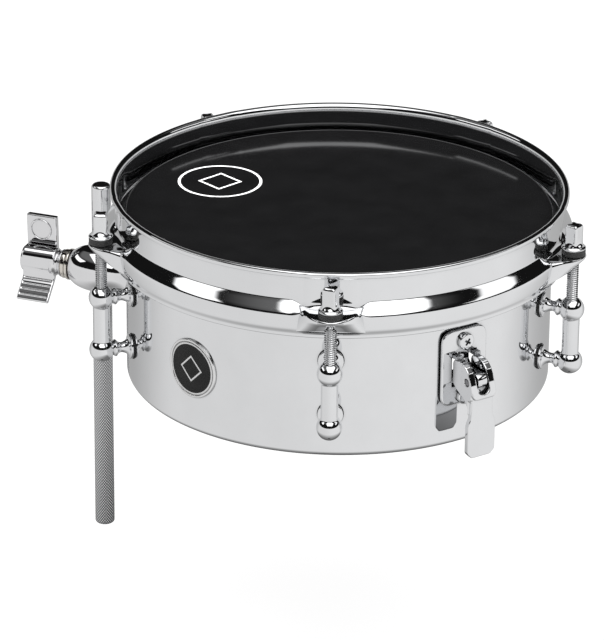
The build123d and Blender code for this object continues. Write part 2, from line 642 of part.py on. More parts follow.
for azimuth, group in ((BRACKET_AZ, BRACKET_PIECES), (STRAINER_AZ, STRAINER_PIECES)):
    for piece_name, pieces in group.items():
        save(piece_name, [at(azimuth, piece) for piece in pieces])
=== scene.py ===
"""A small chromed drum on a paper floor: shell, film head, flanged hoop, five tube lugs with
tension rods, a badge, a bracket with a wing nut and knurled mounting rod, and a snare throw-off.

The drum axis is Z, the shell's lower edge is at z = 0 and the camera looks from -Y. Parts on the
shell are drawn in a local frame (radial, tangential, z) and turned to their azimuth, which is
counted in degrees from +X. Shapes are (vertices, faces) pairs in mm until make() scales them.
"""

import json
import math
import bpy
import bmesh
import numpy as np
from mathutils import Matrix, Vector


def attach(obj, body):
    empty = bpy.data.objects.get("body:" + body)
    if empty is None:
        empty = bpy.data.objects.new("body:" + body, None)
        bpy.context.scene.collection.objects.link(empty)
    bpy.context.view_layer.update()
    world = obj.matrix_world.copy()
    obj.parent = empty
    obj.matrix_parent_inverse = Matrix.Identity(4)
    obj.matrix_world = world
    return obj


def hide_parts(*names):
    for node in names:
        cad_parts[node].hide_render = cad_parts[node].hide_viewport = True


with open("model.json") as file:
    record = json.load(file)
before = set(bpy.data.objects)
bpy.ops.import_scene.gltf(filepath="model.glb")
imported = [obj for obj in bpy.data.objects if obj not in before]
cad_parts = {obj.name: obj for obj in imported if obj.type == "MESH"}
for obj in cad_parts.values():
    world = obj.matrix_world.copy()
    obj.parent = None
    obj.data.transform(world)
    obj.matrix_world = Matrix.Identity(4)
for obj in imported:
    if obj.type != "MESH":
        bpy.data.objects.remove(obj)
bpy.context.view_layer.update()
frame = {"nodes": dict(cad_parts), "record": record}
scene = bpy.context.scene

MM = 0.001
RECORD = frame["record"]
NODE_BODY = {node: body for body, members in RECORD["behaviour"]["bodies"].items()
             for node in members}
SLOT = {part["node"]: part["material_slot"] for part in RECORD["subparts"]}

# azimuths, degrees
LUGS = {"front": -90.0, "right": -18.0, "back_right": 54.0, "back_left": 126.0, "left": 198.0}
BRACKET_AZ, STRAINER_AZ, BADGE_AZ = 162.0, -54.0, -129.8

# places shared between parts, mm
ROD_AXIS = 115.7                # radius of the tension rod axes
LUG_POSTS = (22.0, 48.66)       # heights of the two posts of a lug
BRACKET_Z = 31.5
BRACKET_SCREWS = (19.3, 43.7)
MOUNT_AXIS = 122.2              # radius of the mounting rod axis
MOUNT_R = 4.7625
KNURL_R = 4.8
KNURL_STARTS = 24
KNURL_LEAD = 2 * math.pi * KNURL_R / math.tan(math.radians(38))
STRAINER_SCREWS = (25.0, 52.4)
PIN_AT, PIN_Z = 114.2, 36.9     # lever pin
BADGE_Z = 32.5


# ------------------------------------------------------------------ outlines
def arc(x, z, radius, start, end, steps):
    angles = [math.radians(start + (end - start) * i / steps) for i in range(steps + 1)]
    return [(x + radius * math.cos(a), z + radius * math.sin(a)) for a in angles]


def rounded(points, radius, steps=5):
    """Closed polygon with its corners rounded; radius is a number or a list, one per point."""
    points = [np.array(p, float) for p in points]
    radii = radius if isinstance(radius, list) else [radius] * len(points)
    out = []
    for i, (corner, r) in enumerate(zip(points, radii)):
        before, after = points[i - 1] - corner, points[(i + 1) % len(points)] - corner
        len_before, len_after = np.linalg.norm(before), np.linalg.norm(after)
        before, after = before / len_before, after / len_after
        angle = math.acos(max(-1, min(1, float(before @ after))))
        if r <= 0 or angle > math.pi - 0.05:
            out.append(tuple(corner))
            continue
        reach = min(r / math.tan(angle / 2), 0.49 * len_before, 0.49 * len_after)
        start, end = corner + before * reach, corner + after * reach
        for k in range(steps + 1):
            t = k / steps
            out.append(tuple((1 - t) ** 2 * start + 2 * t * (1 - t) * corner + t * t * end))
    return out


def densify(points, step):
    """Closed polygon with its sides divided into lengths near step."""
    out = []
    for i, point in enumerate(points):
        a, b = np.array(point, float), np.array(points[(i + 1) % len(points)], float)
        count = max(1, int(np.linalg.norm(b - a) / step))
        out += [tuple(a + (b - a) * j / count) for j in range(count)]
    return out


def inset(outline, distance):
    """Counter-clockwise outline moved inwards along its vertex normals."""
    edge = np.roll(outline, -1, 0) - outline
    edge /= np.linalg.norm(edge, axis=1)[:, None]
    normal = np.stack([-edge[:, 1], edge[:, 0]], 1)
    move = normal + np.roll(normal, 1, 0)
    move /= np.maximum(0.35, (np.linalg.norm(move, axis=1) ** 2 / 2))[:, None]
    return outline + move * distance


def ccw(outline):
    p = np.asarray(outline, float)
    area = np.sum(p[:, 0] * np.roll(p[:, 1], -1) - np.roll(p[:, 0], -1) * p[:, 1])
    return p if area > 0 else p[::-1]


def spline(points, count):
    """Natural cubic spline through the points, sampled count times."""
    p = np.asarray(points, float)
    knots = np.r_[0, np.cumsum(np.linalg.norm(np.diff(p, axis=0), axis=1))]
    m = len(p)
    h = np.diff(knots)
    system, target = np.eye(m), np.zeros((m, 2))
    for i in range(1, m - 1):
        system[i, i - 1:i + 2] = h[i - 1], 2 * (h[i - 1] + h[i]), h[i]
        target[i] = 6 * ((p[i + 1] - p[i]) / h[i] - (p[i] - p[i - 1]) / h[i - 1])
    bend = np.linalg.solve(system, target)
    out = []
    for x in np.linspace(0, knots[-1], count):
        i = min(m - 2, int(np.searchsorted(knots, x, side="right")) - 1)
        a, b = knots[i + 1] - x, x - knots[i]
        out.append(tuple(bend[i] * a ** 3 / (6 * h[i]) + bend[i + 1] * b ** 3 / (6 * h[i])
                         + (p[i] / h[i] - bend[i] * h[i] / 6) * a
                         + (p[i + 1] / h[i] - bend[i + 1] * h[i] / 6) * b))
    return out


def stadium(length, width):
    """Slot outline with its long side along the second coordinate."""
    r, s = width / 2, (length - width) / 2
    return [(r * math.cos(math.radians(a)), side * s + r * math.sin(math.radians(a)))
            for side, start in ((1, 0), (-1, 180)) for a in np.linspace(start, start + 180, 16)]


# ------------------------------------------------------------------ shapes
def place(shape, azimuth=0.0, offset=(0, 0, 0)):
    """Shape in the local frame, moved by offset and then turned to an azimuth."""
    a = math.radians(azimuth)
    turn = np.array([[math.cos(a), -math.sin(a), 0], [math.sin(a), math.cos(a), 0], [0, 0, 1.0]])
    return (np.asarray(shape[0], float) + np.asarray(offset, float)) @ turn.T, shape[1]


def grid_faces(rows, columns, wrap_rows=False):
    """Quads over rows of points; each row closes on itself."""
    out = []
    for i in range(rows if wrap_rows else rows - 1):
        i2 = (i + 1) % rows
        for j in range(columns):
            j2 = (j + 1) % columns
            out.append((i * columns + j, i * columns + j2, i2 * columns + j2, i2 * columns + j))
    return out


def end_caps(rows, columns):
    first_of_last = (rows - 1) * columns
    return [tuple(range(columns)),
            tuple(reversed(range(first_of_last, first_of_last + columns)))]


def full_turn(segments):
    return np.linspace(0, 2 * math.pi, segments, endpoint=False)


def lathe(profile, segments, closed=False):
    """Profile (r, z) turned about Z; r may be an array with one radius per segment.

    Points with r = 0 merge to a pole in make()."""
    a = full_turn(segments)
    rings = [np.stack([r * np.cos(a), r * np.sin(a), np.full(segments, z)], 1)
             for r, z in profile]
    return np.concatenate(rings), grid_faces(len(profile), segments, closed)


def lathe_radial(profile, segments, height=0.0, closed=False):
    """Profile (x, r) turned about the local radial axis at a height."""
    v, f = lathe([(r, x) for x, r in profile], segments, closed)
    return np.stack([v[:, 2], v[:, 0], v[:, 1] + height], 1), f


def bore(radius, start, end, segments=48):
    """Cylinder between two local points."""
    start, end = np.array(start, float), np.array(end, float)
    axis = end - start
    length = np.linalg.norm(axis)
    axis /= length
    side = np.cross(axis, [0, 0, 1.0] if abs(axis[2]) < 0.9 else [1.0, 0, 0])
    side /= np.linalg.norm(side)
    v, f = lathe([(0, 0), (radius, 0), (radius, length), (0, length)], segments)
    return start + v[:, 0:1] * side + v[:, 1:2] * np.cross(axis, side) + v[:, 2:3] * axis, f


# which of a slab's (first, second, thickness) coordinates goes to local x, y and z
FACING = {"radial": (2, 0, 1), "tangential": (0, 2, 1), "z": (0, 1, 2)}


def slab(outline, low, high, radius, steps=4, facing="radial"):
    """Flat plate with rounded edges, its thickness low..high along the facing axis."""
    p = ccw(outline)
    quarter = [math.pi / 2 * i / steps for i in range(steps + 1)]
    layers = [(t, low + radius * (1 - math.cos(t))) for t in quarter]
    layers += [(t, high - radius * (1 - math.cos(t))) for t in reversed(quarter)]
    v = np.concatenate([np.c_[inset(p, radius * (1 - math.sin(t))), np.full(len(p), level)]
                        for t, level in layers])
    f = grid_faces(len(layers), len(p))
    f.append(tuple(reversed(range(len(p)))))
    f.append(tuple(range(len(v) - len(p), len(v))))
    return np.stack([v[:, k] for k in FACING[facing]], 1), f


def join(shapes):
    verts, faces, base = [], [], 0
    for v, f in shapes:
        verts.append(np.asarray(v, float))
        faces += [tuple(i + base for i in face) for face in f]
        base += len(v)
    return np.concatenate(verts), faces


# ------------------------------------------------------------------ mesh objects
def smooth(ob, sharp):
    """Smooth shading, creased where faces meet at more than sharp degrees."""
    ob.data.polygons.foreach_set("use_smooth", [True] * len(ob.data.polygons))
    ob.data.set_sharp_from_angle(angle=math.radians(sharp))
    ob.data.update()


def make(name, shape, sharp=38.0, merge=1e-4):
    """Mesh object from a shape: doubles within merge mm joined, normals outward."""
    bm = bmesh.new()
    points = [bm.verts.new(Vector(v) * MM) for v in np.asarray(shape[0], float)]
    bm.verts.index_update()
    for face in shape[1]:
        if len(set(face)) >= 3:
            try:
                bm.faces.new([points[i] for i in dict.fromkeys(face)])
            except ValueError:
                pass            # a face on the same points is there already
    bmesh.ops.remove_doubles(bm, verts=bm.verts, dist=merge * MM)
    bmesh.ops.dissolve_degenerate(bm, edges=bm.edges, dist=1e-5 * MM)
    bmesh.ops.recalc_face_normals(bm, faces=bm.faces)
    mesh = bpy.data.meshes.new(name)
    bm.to_mesh(mesh)
    bm.free()
    ob = bpy.data.objects.new(name, mesh)
    scene.collection.objects.link(ob)
    smooth(ob, sharp)
    return ob


def take_shape(ob):
    """Remove an object and return its shape in mm."""
    verts = np.array([v.co[:] for v in ob.data.vertices]) / MM
    faces = [tuple(p.vertices) for p in ob.data.polygons]
    bpy.data.objects.remove(ob)
    return verts, faces


def apply_modifiers(ob):
    depsgraph = bpy.context.evaluated_depsgraph_get()
    mesh = bpy.data.meshes.new_from_object(ob.evaluated_get(depsgraph))
    ob.modifiers.clear()
    old = ob.data
    ob.data = mesh
    bpy.data.meshes.remove(old)


def boolean(ob, operation, shapes):
    for shape in shapes:
        tool = make("tool", shape)
        modifier = ob.modifiers.new("boolean", "BOOLEAN")
        modifier.operation, modifier.object, modifier.solver = operation, tool, "EXACT"
        apply_modifiers(ob)
        bpy.data.objects.remove(tool)


def cut(ob, *shapes):
    boolean(ob, "DIFFERENCE", shapes)


def fuse(ob, *shapes):
    boolean(ob, "UNION", shapes)


def cast_skin(ob, voxel, rounds):
    """Even skin over a joined shape with its edges softened, as on a casting."""
    remesh = ob.modifiers.new("skin", "REMESH")
    remesh.mode, remesh.voxel_size, remesh.adaptivity = "VOXEL", voxel * MM, 0.0
    soften = ob.modifiers.new("soften", "SMOOTH")
    soften.factor, soften.iterations = 0.5, rounds
    apply_modifiers(ob)
    smooth(ob, 60)


def turn_mesh(ob, azimuth):
    ob.data.transform(Matrix.Rotation(math.radians(azimuth), 4, "Z"))
    ob.data.update()


def settle(ob, material, body, node=None):
    """Give an object its material and body, and the CAD node it stands in for."""
    ob.data.materials.clear()
    ob.data.materials.append(MAT[material])
    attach(ob, body)
    if node:
        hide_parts(node)


# ------------------------------------------------------------------ shader nodes
def feed(node, inputs):
    """Fill inputs, keyed by name or index: a socket is linked, anything else is a value."""
    for key, value in inputs.items():
        if isinstance(value, bpy.types.NodeSocket):
            node.id_data.links.new(value, node.inputs[key])
        else:
            node.inputs[key].default_value = value


def add(tree, kind, inputs=None, **settings):
    node = tree.nodes.new("ShaderNode" + kind)
    for key, value in settings.items():
        setattr(node, key, value)
    feed(node, inputs or {})
    return node


def calc(operation, *values):
    tree = next(v for v in values if isinstance(v, bpy.types.NodeSocket)).id_data
    return add(tree, "Math", dict(enumerate(values)), operation=operation).outputs[0]


def times(product, *factors):
    for factor in factors:
        product = calc("MULTIPLY", product, factor)
    return product


def ramp(value, low, high, start=0.3, end=0.7, kind="LINEAR"):
    """Map start..end to low..high."""
    return add(value.id_data, "MapRange", {"Value": value, "From Min": start, "From Max": end,
               "To Min": low, "To Max": high}, interpolation_type=kind).outputs[0]


def step(value, start, end, low=0.0, high=1.0):
    return ramp(value, low, high, start, end, "SMOOTHSTEP")


def separate(vector):
    return add(vector.id_data, "SeparateXYZ", {0: vector}).outputs


def object_coord(tree):
    return add(tree, "TexCoord").outputs["Object"]


def noise(coord, scale, detail=3.0, roughness=0.5, stretch=None):
    tree = coord.id_data
    if stretch:
        coord = add(tree, "Mapping", {0: coord, "Scale": stretch}).outputs[0]
    return add(tree, "TexNoise", {"Vector": coord, "Scale": scale, "Detail": detail,
                                  "Roughness": roughness}).outputs["Fac"]


def mix_color(factor, a, b):
    return add(factor.id_data, "Mix", {0: factor, 6: (*a, 1), 7: (*b, 1)},
               data_type="RGBA").outputs[2]


def mix_shader(factor, a, b):
    return add(factor.id_data, "MixShader", {0: factor, 1: a, 2: b}).outputs[0]


def scaled(color, factor):
    return tuple(c * factor for c in color)


def shade(color, factor):
    return add(color.id_data, "VectorMath", {0: color, "Scale": factor},
               operation="SCALE").outputs[0]


def painted_crevice_shade(tree, reach, dark):
    """Painted shade: 1 on open surfaces, down to dark in gaps narrower than reach mm."""
    occlusion = add(tree, "AmbientOcclusion", {"Distance": reach * MM}, samples=6)
    return ramp(occlusion.outputs["AO"], dark, 1.0, start=0.15, end=0.78)


def bump(height, strength, distance, edge):
    """Bump over edges that look rounded by edge mm, or plain edges if that is 0."""
    tree = height.id_data
    inputs = {"Height": height, "Strength": strength, "Distance": distance}
    if edge:
        inputs["Normal"] = add(tree, "Bevel", {"Radius": edge * MM}, samples=4).outputs[0]
    return add(tree, "Bump", inputs).outputs[0]


# ------------------------------------------------------------------ materials
def new_material(name):
    """A material with its Principled shader and object coordinates."""
    material = bpy.data.materials.new(name)
    material.use_nodes = True
    tree = material.node_tree
    tree.nodes.clear()
    output = add(tree, "OutputMaterial")
    shader = add(tree, "BsdfPrincipled")
    feed(output, {0: shader.outputs[0]})
    return material, shader, object_coord(tree)


def chrome(name, tint=(0.80, 0.805, 0.815), rough=(0.025, 0.06), wave=0.05, edge=0.0,
           reach=4.0, dark=0.25):
    """Polished plating: nearly mirror, with faint waves and hazy patches, and painted shade in gaps
    narrower than reach mm.
    """
    material, shader, coord = new_material(name)
    patches = ramp(noise(coord, scale=55.0, detail=4.0, roughness=0.55), 0, 1)
    haze = noise(coord, scale=140.0, detail=5.0, roughness=0.6)
    waves = noise(coord, scale=38.0, detail=2.0, roughness=0.4)
    # base colour darkened by painted shade in crevices
    feed(shader, {
        "Metallic": 1.0,
        "Base Color": shade(mix_color(patches, tint, scaled(tint, 0.965)),
                            painted_crevice_shade(material.node_tree, reach, dark)),
        "Roughness": ramp(haze, *rough, start=0.35, end=0.7),
        "Normal": bump(waves, strength=wave, distance=0.0004, edge=edge)})
    return material


def brushed(name, tint, rough=(0.22, 0.38), stretch=(1.0, 1.0, 26.0)):
    material, shader, coord = new_material(name)
    grain = noise(coord, scale=240.0, detail=4.0, roughness=0.6, stretch=stretch)
    feed(shader, {
        "Metallic": 1.0,
        "Base Color": mix_color(ramp(grain, 0, 1), tint, scaled(tint, 0.8)),
        "Roughness": ramp(grain, *rough),
        "Normal": bump(grain, strength=0.12, distance=0.0001, edge=0.25)})
    return material


def plastic(name, color, rough=(0.35, 0.5), grain_scale=900.0, strength=0.15, edge=0.2,
            specular=0.5):
    material, shader, coord = new_material(name)
    grain = noise(coord, scale=grain_scale, roughness=0.6)
    patches = ramp(noise(coord, scale=60.0), 0, 1)
    feed(shader, {
        "Base Color": mix_color(patches, color, scaled(color, 1.35)),
        "Roughness": ramp(grain, *rough),
        "Normal": bump(grain, strength=strength, distance=0.00006, edge=edge),
        "Specular IOR Level": specular})
    return material


# reach and dark set the painted crevice shade of the chrome finishes
MATERIALS = {
    "shell_chrome": (chrome, dict(wave=0.03)),
    "hoop_chrome": (chrome, dict(wave=0.035)),
    "rod_chrome": (chrome, dict(rough=(0.04, 0.1), reach=1.3, dark=0.05)),
    "lug_chrome": (chrome, dict(wave=0.03, edge=0.15)),
    "cast_chrome": (chrome, dict(tint=(0.79, 0.79, 0.80), rough=(0.03, 0.07), reach=3.0,
                                 dark=0.15)),
    "lever_chrome": (chrome, dict(wave=0.04, edge=0.3, reach=6.0, dark=0.06)),
    "mount_rod_chrome": (chrome, dict(rough=(0.05, 0.12))),
    "washer_nickel": (chrome, dict(tint=(0.74, 0.70, 0.64), rough=(0.08, 0.2), edge=0.2)),
    "zinc_steel": (brushed, dict(tint=(0.60, 0.61, 0.64))),
    "pin_steel": (brushed, dict(tint=(0.34, 0.34, 0.35), rough=(0.3, 0.5))),
    "snare_steel": (brushed, dict(tint=(0.66, 0.67, 0.69), rough=(0.15, 0.3))),
    "frame_steel": (brushed, dict(tint=(0.58, 0.59, 0.61), stretch=(14.0, 1.0, 1.0))),
    "flesh_hoop_metal": (brushed, dict(tint=(0.62, 0.63, 0.64))),
    "badge_metal": (chrome, dict(tint=(0.80, 0.80, 0.80), rough=(0.08, 0.2), edge=0.15)),
    "badge_black": (plastic, dict(color=(0.006, 0.006, 0.006), rough=(0.12, 0.2), strength=0.05,
                                  specular=0.12)),
    "black_nylon": (plastic, dict(color=(0.010, 0.010, 0.010), rough=(0.38, 0.55))),
    "gasket_black": (plastic, dict(color=(0.012, 0.012, 0.012), rough=(0.6, 0.8))),
    "head_film_black": (plastic, dict(color=(0.0048, 0.0048, 0.0050), rough=(0.075, 0.10),
                                      grain_scale=2600.0, strength=0.03, edge=0,
                                      specular=0.24)),
}
MAT = {name: build(name, **options) for name, (build, options) in MATERIALS.items()}


def principled(material):
    return next(n for n in material.node_tree.nodes if n.type == "BSDF_PRINCIPLED")


def color_source(shader):
    return shader.inputs["Base Color"].links[0].from_socket


def paint_knurl_shade(material):
    """Painted shade on the rod's knurled part: slightly darker on the diamonds and dark between
    them.
    """
    shader = principled(material)
    x, y, z = separate(object_coord(material.node_tree))
    azimuth = math.radians(BRACKET_AZ)
    from_axis = [calc("SUBTRACT", y, MOUNT_AXIS * math.sin(azimuth) * MM),
                 calc("SUBTRACT", x, MOUNT_AXIS * math.cos(azimuth) * MM)]
    angle = calc("SUBTRACT", calc("ARCTAN2", *from_axis), azimuth)
    turns = calc("DIVIDE", angle, 2 * math.pi)
    run = calc("DIVIDE", z, KNURL_LEAD * MM)
    grooves = []
    for hand in ("ADD", "SUBTRACT"):
        phase = calc("FRACT", times(calc(hand, turns, run), float(KNURL_STARTS)))
        grooves.append(calc("MINIMUM", phase, calc("SUBTRACT", 1.0, phase)))
    # painted shade: dark in the grooves between the diamonds, slightly darker on them
    land = ramp(calc("MINIMUM", *grooves), low=0.22, high=0.96, start=0.03, end=0.26)
    zone = ramp(z, low=1.0, high=0.0, start=0.0150, end=0.0165)
    factor = calc("ADD", times(zone, land), calc("SUBTRACT", 1.0, zone))
    feed(shader, {"Base Color": shade(color_source(shader), factor)})


def band(value, low, high, soft):
    return times(step(value, low - soft, low + soft), step(value, high + soft, high - soft))


def print_mark(material, centre, across, upward, ring, diamond, color, metal=0.0, above=None):
    """Paint a ring and a diamond outline about centre, in the plane across x upward.

    ring and diamond are (inner, outer) in mm; above limits the mark to heights over it."""
    shader = principled(material)
    position = object_coord(material.node_tree)
    plane = []
    for axis in (across, upward):
        dot = add(position.id_data, "VectorMath", {0: position, 1: Vector(axis) / MM},
                  operation="DOT_PRODUCT").outputs["Value"]
        plane.append(calc("SUBTRACT", dot, Vector(axis).dot(Vector(centre))))
    radius = calc("SQRT", calc("ADD", *[times(p, p) for p in plane]))
    diagonal = calc("ADD", *[calc("ABSOLUTE", p) for p in plane])
    mask = calc("MAXIMUM", band(diagonal, *diamond, soft=0.08), band(radius, *ring, soft=0.06))
    if above is not None:
        height = separate(position)[2]
        mask = times(mask, step(height, (above - 0.03) * MM, (above + 0.03) * MM))
    mixed = add(position.id_data, "Mix", {0: mask, 6: color_source(shader), 7: (*color, 1)},
                data_type="RGBA")
    feed(shader, {"Base Color": mixed.outputs[2]})
    if metal:
        feed(shader, {"Metallic": times(mask, metal)})


paint_knurl_shade(MAT["mount_rod_chrome"])
for name, ob in frame["nodes"].items():
    ob.data.materials.clear()
    ob.data.materials.append(MAT[SLOT[name]])

# ------------------------------------------------------------------ camera
STUDIO_TURN = math.radians(2.22)    # camera and room, turned together about Z


def add_camera():
    elevation, roll = math.radians(23.851), math.radians(0.513)
    back = Vector((0, -math.cos(elevation), math.sin(elevation)))
    right = Vector((1, 0, 0))
    up = back.cross(right)
    turn = Matrix.Rotation(STUDIO_TURN, 3, "Z")
    axes = [turn @ (right * math.cos(roll) + up * math.sin(roll)),
            turn @ (up * math.cos(roll) - right * math.sin(roll)),
            turn @ back]
    position = turn @ (Vector((-17.219, -1841.94, 838.33)) * MM)
    data = bpy.data.cameras.new("camera")
    camera = bpy.data.objects.new("camera", data)
    scene.collection.objects.link(camera)
    camera.matrix_world = Matrix.Translation(position) @ Matrix(axes).transposed().to_4x4()
    data.sensor_width = 36.0
    data.lens = 237.0301875
    data.clip_start, data.clip_end = 0.05, 100.0
    scene.camera = camera


# ------------------------------------------------------------------ floor
FLOOR_Z, FLOOR_HALF = -0.138, 6     # m


def floor_glow(geometry):
    """Painted glow that polished parts see in place of the lit floor: falls off to -X and to +Y,
    with painted shadow below and under the drum.
    """
    away = separate(geometry.outputs["Incoming"])
    side = step(times(away[0], -1.0), -0.95, 0.75, low=0.80, high=0.90)
    behind = step(times(away[1], -1.0), 0.05, 0.95, low=1.0, high=0.50)
    # painted shadow for reflections looking straight down, and painted shadow of the drum on the
    # floor
    shadow_below = step(away[2], 0.9925, 0.9965, low=1.0, high=0.06)
    distance = add(geometry.id_data, "VectorMath", {0: geometry.outputs["Position"]},
                   operation="LENGTH").outputs["Value"]
    drum_shadow = step(distance, 0.15, 0.33, low=0.22, high=1.0)
    strength = times(side, behind, shadow_below, drum_shadow)
    return add(geometry.id_data, "Emission", {"Strength": strength}).outputs[0]


def floor_material():
    """Matt paper, lifted to white for the camera, seen by glossy rays as the painted floor glow,
    and clear from below.
    """
    material, shader, coord = new_material("floor_paper")
    tree = material.node_tree
    paper = mix_color(noise(coord, scale=3.0, detail=2.0), (0.88, 0.88, 0.88),
                      (0.90, 0.90, 0.90))
    feed(shader, {"Base Color": paper, "Roughness": 0.9, "Specular IOR Level": 0.1})
    geometry = add(tree, "NewGeometry")
    path = add(tree, "LightPath")
    from_camera = path.outputs["Is Camera Ray"]
    # glossy rays see the painted floor glow instead of the paper
    seen = mix_shader(path.outputs["Is Glossy Ray"], shader.outputs[0], floor_glow(geometry))
    white = add(tree, "Emission", {0: (1, 1, 1, 1), 1: 1.0}).outputs[0]
    lifted = mix_shader(times(from_camera, 0.88), seen, white)
    clear = add(tree, "BsdfTransparent").outputs[0]
    surface = mix_shader(times(geometry.outputs["Backfacing"], from_camera), lifted, clear)
    feed(next(n for n in tree.nodes if n.type == "OUTPUT_MATERIAL"), {0: surface})
    return material


def add_floor():
    h = FLOOR_HALF
    mesh = bpy.data.meshes.new("floor")
    mesh.from_pydata([(x, y, FLOOR_Z) for x, y in ((-h, -h), (h, -h), (h, h), (-h, h))], [],
                     [(0, 1, 2, 3)])
    floor = bpy.data.objects.new("floor", mesh)
    scene.collection.objects.link(floor)
    floor.data.materials.append(floor_material())


# ------------------------------------------------------------------ world and lights
# panels overhead, in units of their height above the drum: x0, x1, y0, y1, level
SOFTBOXES = ((-0.5, 0.78, -1.4, 0.2, 1.7),
             (-1.62, -1.1, -0.5, 0.72, 1.5),
             (1.32, 1.85, -0.55, 0.45, 1.3))


def build_world():
    """Room seen by polished parts: light near the horizon, dark above it, three softboxes."""
    world = bpy.data.worlds.new("studio")
    scene.world = world
    world.use_nodes = True
    tree = world.node_tree
    tree.nodes.clear()
    generated = add(tree, "TexCoord").outputs["Generated"]
    x, y, z = separate(add(tree, "VectorRotate", {"Vector": generated, "Angle": -STUDIO_TURN},
                           rotation_type="Z_AXIS").outputs[0])
    up = calc("MAXIMUM", z, 0.02)
    over_x, over_y = calc("DIVIDE", x, up), calc("DIVIDE", y, up)
    elevation = calc("ARCSINE", z)
    side = step(x, -0.95, 0.75, low=0.82, high=0.92)
    behind = step(y, 0.05, 0.95, low=1.0, high=0.62)
    wall = times(side, behind, step(elevation, math.radians(13.2), math.radians(11.2)))
    ceiling = step(elevation, math.radians(40), math.radians(50), low=0.008, high=0.15)
    total = calc("MAXIMUM", wall, ceiling)
    for x0, x1, y0, y1, level in SOFTBOXES:
        panel = times(band(over_x, x0, x1, soft=0.04), band(over_y, y0, y1, soft=0.04), level)
        total = calc("ADD", total, panel)
    white = (1, 1, 1, 1)
    backdrop = add(tree, "Background", {0: white, 1: 1.0}).outputs[0]
    room = add(tree, "Background", {0: white, 1: total}).outputs[0]
    from_camera = add(tree, "LightPath").outputs["Is Camera Ray"]
    add(tree, "OutputWorld", {0: mix_shader(from_camera, room, backdrop)})


def add_area(name, position, size, power):
    """Square area light aimed at the origin, unseen in reflections."""
    data = bpy.data.lights.new(name, "AREA")
    data.shape, data.size, data.size_y, data.energy = "RECTANGLE", size, size, power
    light = bpy.data.objects.new(name, data)
    scene.collection.objects.link(light)
    light.location = position
    light.rotation_mode = "QUATERNION"
    light.rotation_quaternion = (-Vector(position)).to_track_quat("-Z", "Y")
    light.visible_glossy = False


badge_angle = math.radians(BADGE_AZ)
print_mark(MAT["head_film_black"], centre=(-58.2, 28.2, 0), across=(1, 0, 0), upward=(0, 1, 0),
           ring=(18.9, 20.2), diamond=(9.0, 10.6), color=(0.82, 0.82, 0.82), above=82.7)
print_mark(MAT["badge_black"], centre=(0, 0, BADGE_Z),
           across=(-math.sin(badge_angle), math.cos(badge_angle), 0), upward=(0, 0, 1),
           ring=(11.95, 12.9), diamond=(5.6, 6.6), color=(0.72, 0.72, 0.72), metal=1.0)
add_camera()
add_floor()
build_world()
add_area("key", position=(0.3, -0.8, 2.4), size=4.5, power=215)
add_area("fill", position=(-2.2, 1.0, 2.0), size=3.0, power=85)
scene.view_settings.view_transform = "Standard"
scene.view_settings.look = "None"
scene.cycles.max_bounces = 10
scene.cycles.glossy_bounces = 8
scene.cycles.use_denoising = True
scene.cycles.sample_clamp_indirect = 6.0

# ------------------------------------------------------------------ counter hoop
# sections (r, z), running over the rim, down the outside, round the lower edge and up inside
HOOP_RIM = [(104.5, 88.0), (104.51, 90.4), (104.6, 91.6), (104.82, 92.6), (105.2, 93.4),
            (105.75, 94.0), (106.4, 94.26)] + arc(107.2, 93.2, 1.1, 90, 0, 7) + \
    arc(107.4, 92.5, 0.9, 0, -90, 5)[1:] + \
    [(106.6, 91.5), (106.15, 91.15), (106.0, 90.5), (106.0, 88.0), (106.0, 85.0), (106.0, 82.9)]
HOOP_FILLET = arc(107.3, 80.4, 1.3, 180, 218, 7)
EAR_FILLET = arc(108.9, 79.3, 2.95, 180, 268, 7)
HOOP_FLANGE = [(107.3, 78.3), (108.4, 76.89), (109.2, 75.87)] + arc(107.6, 73.04, 3.0, 38, 0, 8) + \
    [(110.55, 72.0), (110.45, 71.0), (110.3, 69.6), (110.1, 68.3), (109.85, 67.2), (109.62, 66.5),
     (109.4, 66.0)]
EAR_TOP = [(111.0, 76.3), (113.5, 76.3), (115.5, 76.3), (117.3, 76.3), (118.9, 76.3),
           (120.0, 76.3)] + arc(120.6, 75.35, 0.95, 90, 0, 4) + \
    [(121.3, 74.8), (120.7, 74.1), (119.9, 73.3), (119.0, 72.4), (118.0, 71.5), (117.1, 70.6),
     (116.4, 69.9), (116.2, 69.7)]
HOOP_LOWER_EDGE = [(109.05, 65.2), (108.8, 64.5)] + arc(108.05, 63.45, 0.65, 20, -90, 6) + \
    arc(108.0, 63.35, 0.55, -90, -180, 5)[1:] + [(107.7, 64.2), (108.0, 65.2)]
HOOP_INSIDE = [(108.5, 67.0), (108.7, 68.0), (108.85, 69.2), (108.98, 70.6), (109.05, 72.2),
               (109.02, 73.3), (108.74, 73.95), (107.9, 75.0), (106.8, 76.4), (105.9, 77.55)]
EAR_UNDERSIDE = [(116.4, 71.9), (117.6, 73.0), (118.8, 74.2), (119.5, 74.75), (119.0, 74.85),
                 (117.0, 74.85), (114.5, 74.85), (111.5, 74.85), (109.2, 74.9), (107.6, 75.6)]
HOOP_RETURN = [(105.4, 78.2), (104.95, 78.8), (104.65, 79.4), (104.52, 80.2), (104.5, 81.5),
               (104.5, 84.0), (104.51, 86.0)]
EAR_HALF_TOP, EAR_HALF_TIP = 12.4, 15.7     # half width of the ear at its root and at the slit
EAR_ZONE = 21.0                             # half width of the fine columns about an ear
HOOP_WIDEST = 110.6
EAR_EDGE = 1.42                             # end of an ear's columns; the ear itself ends at 1


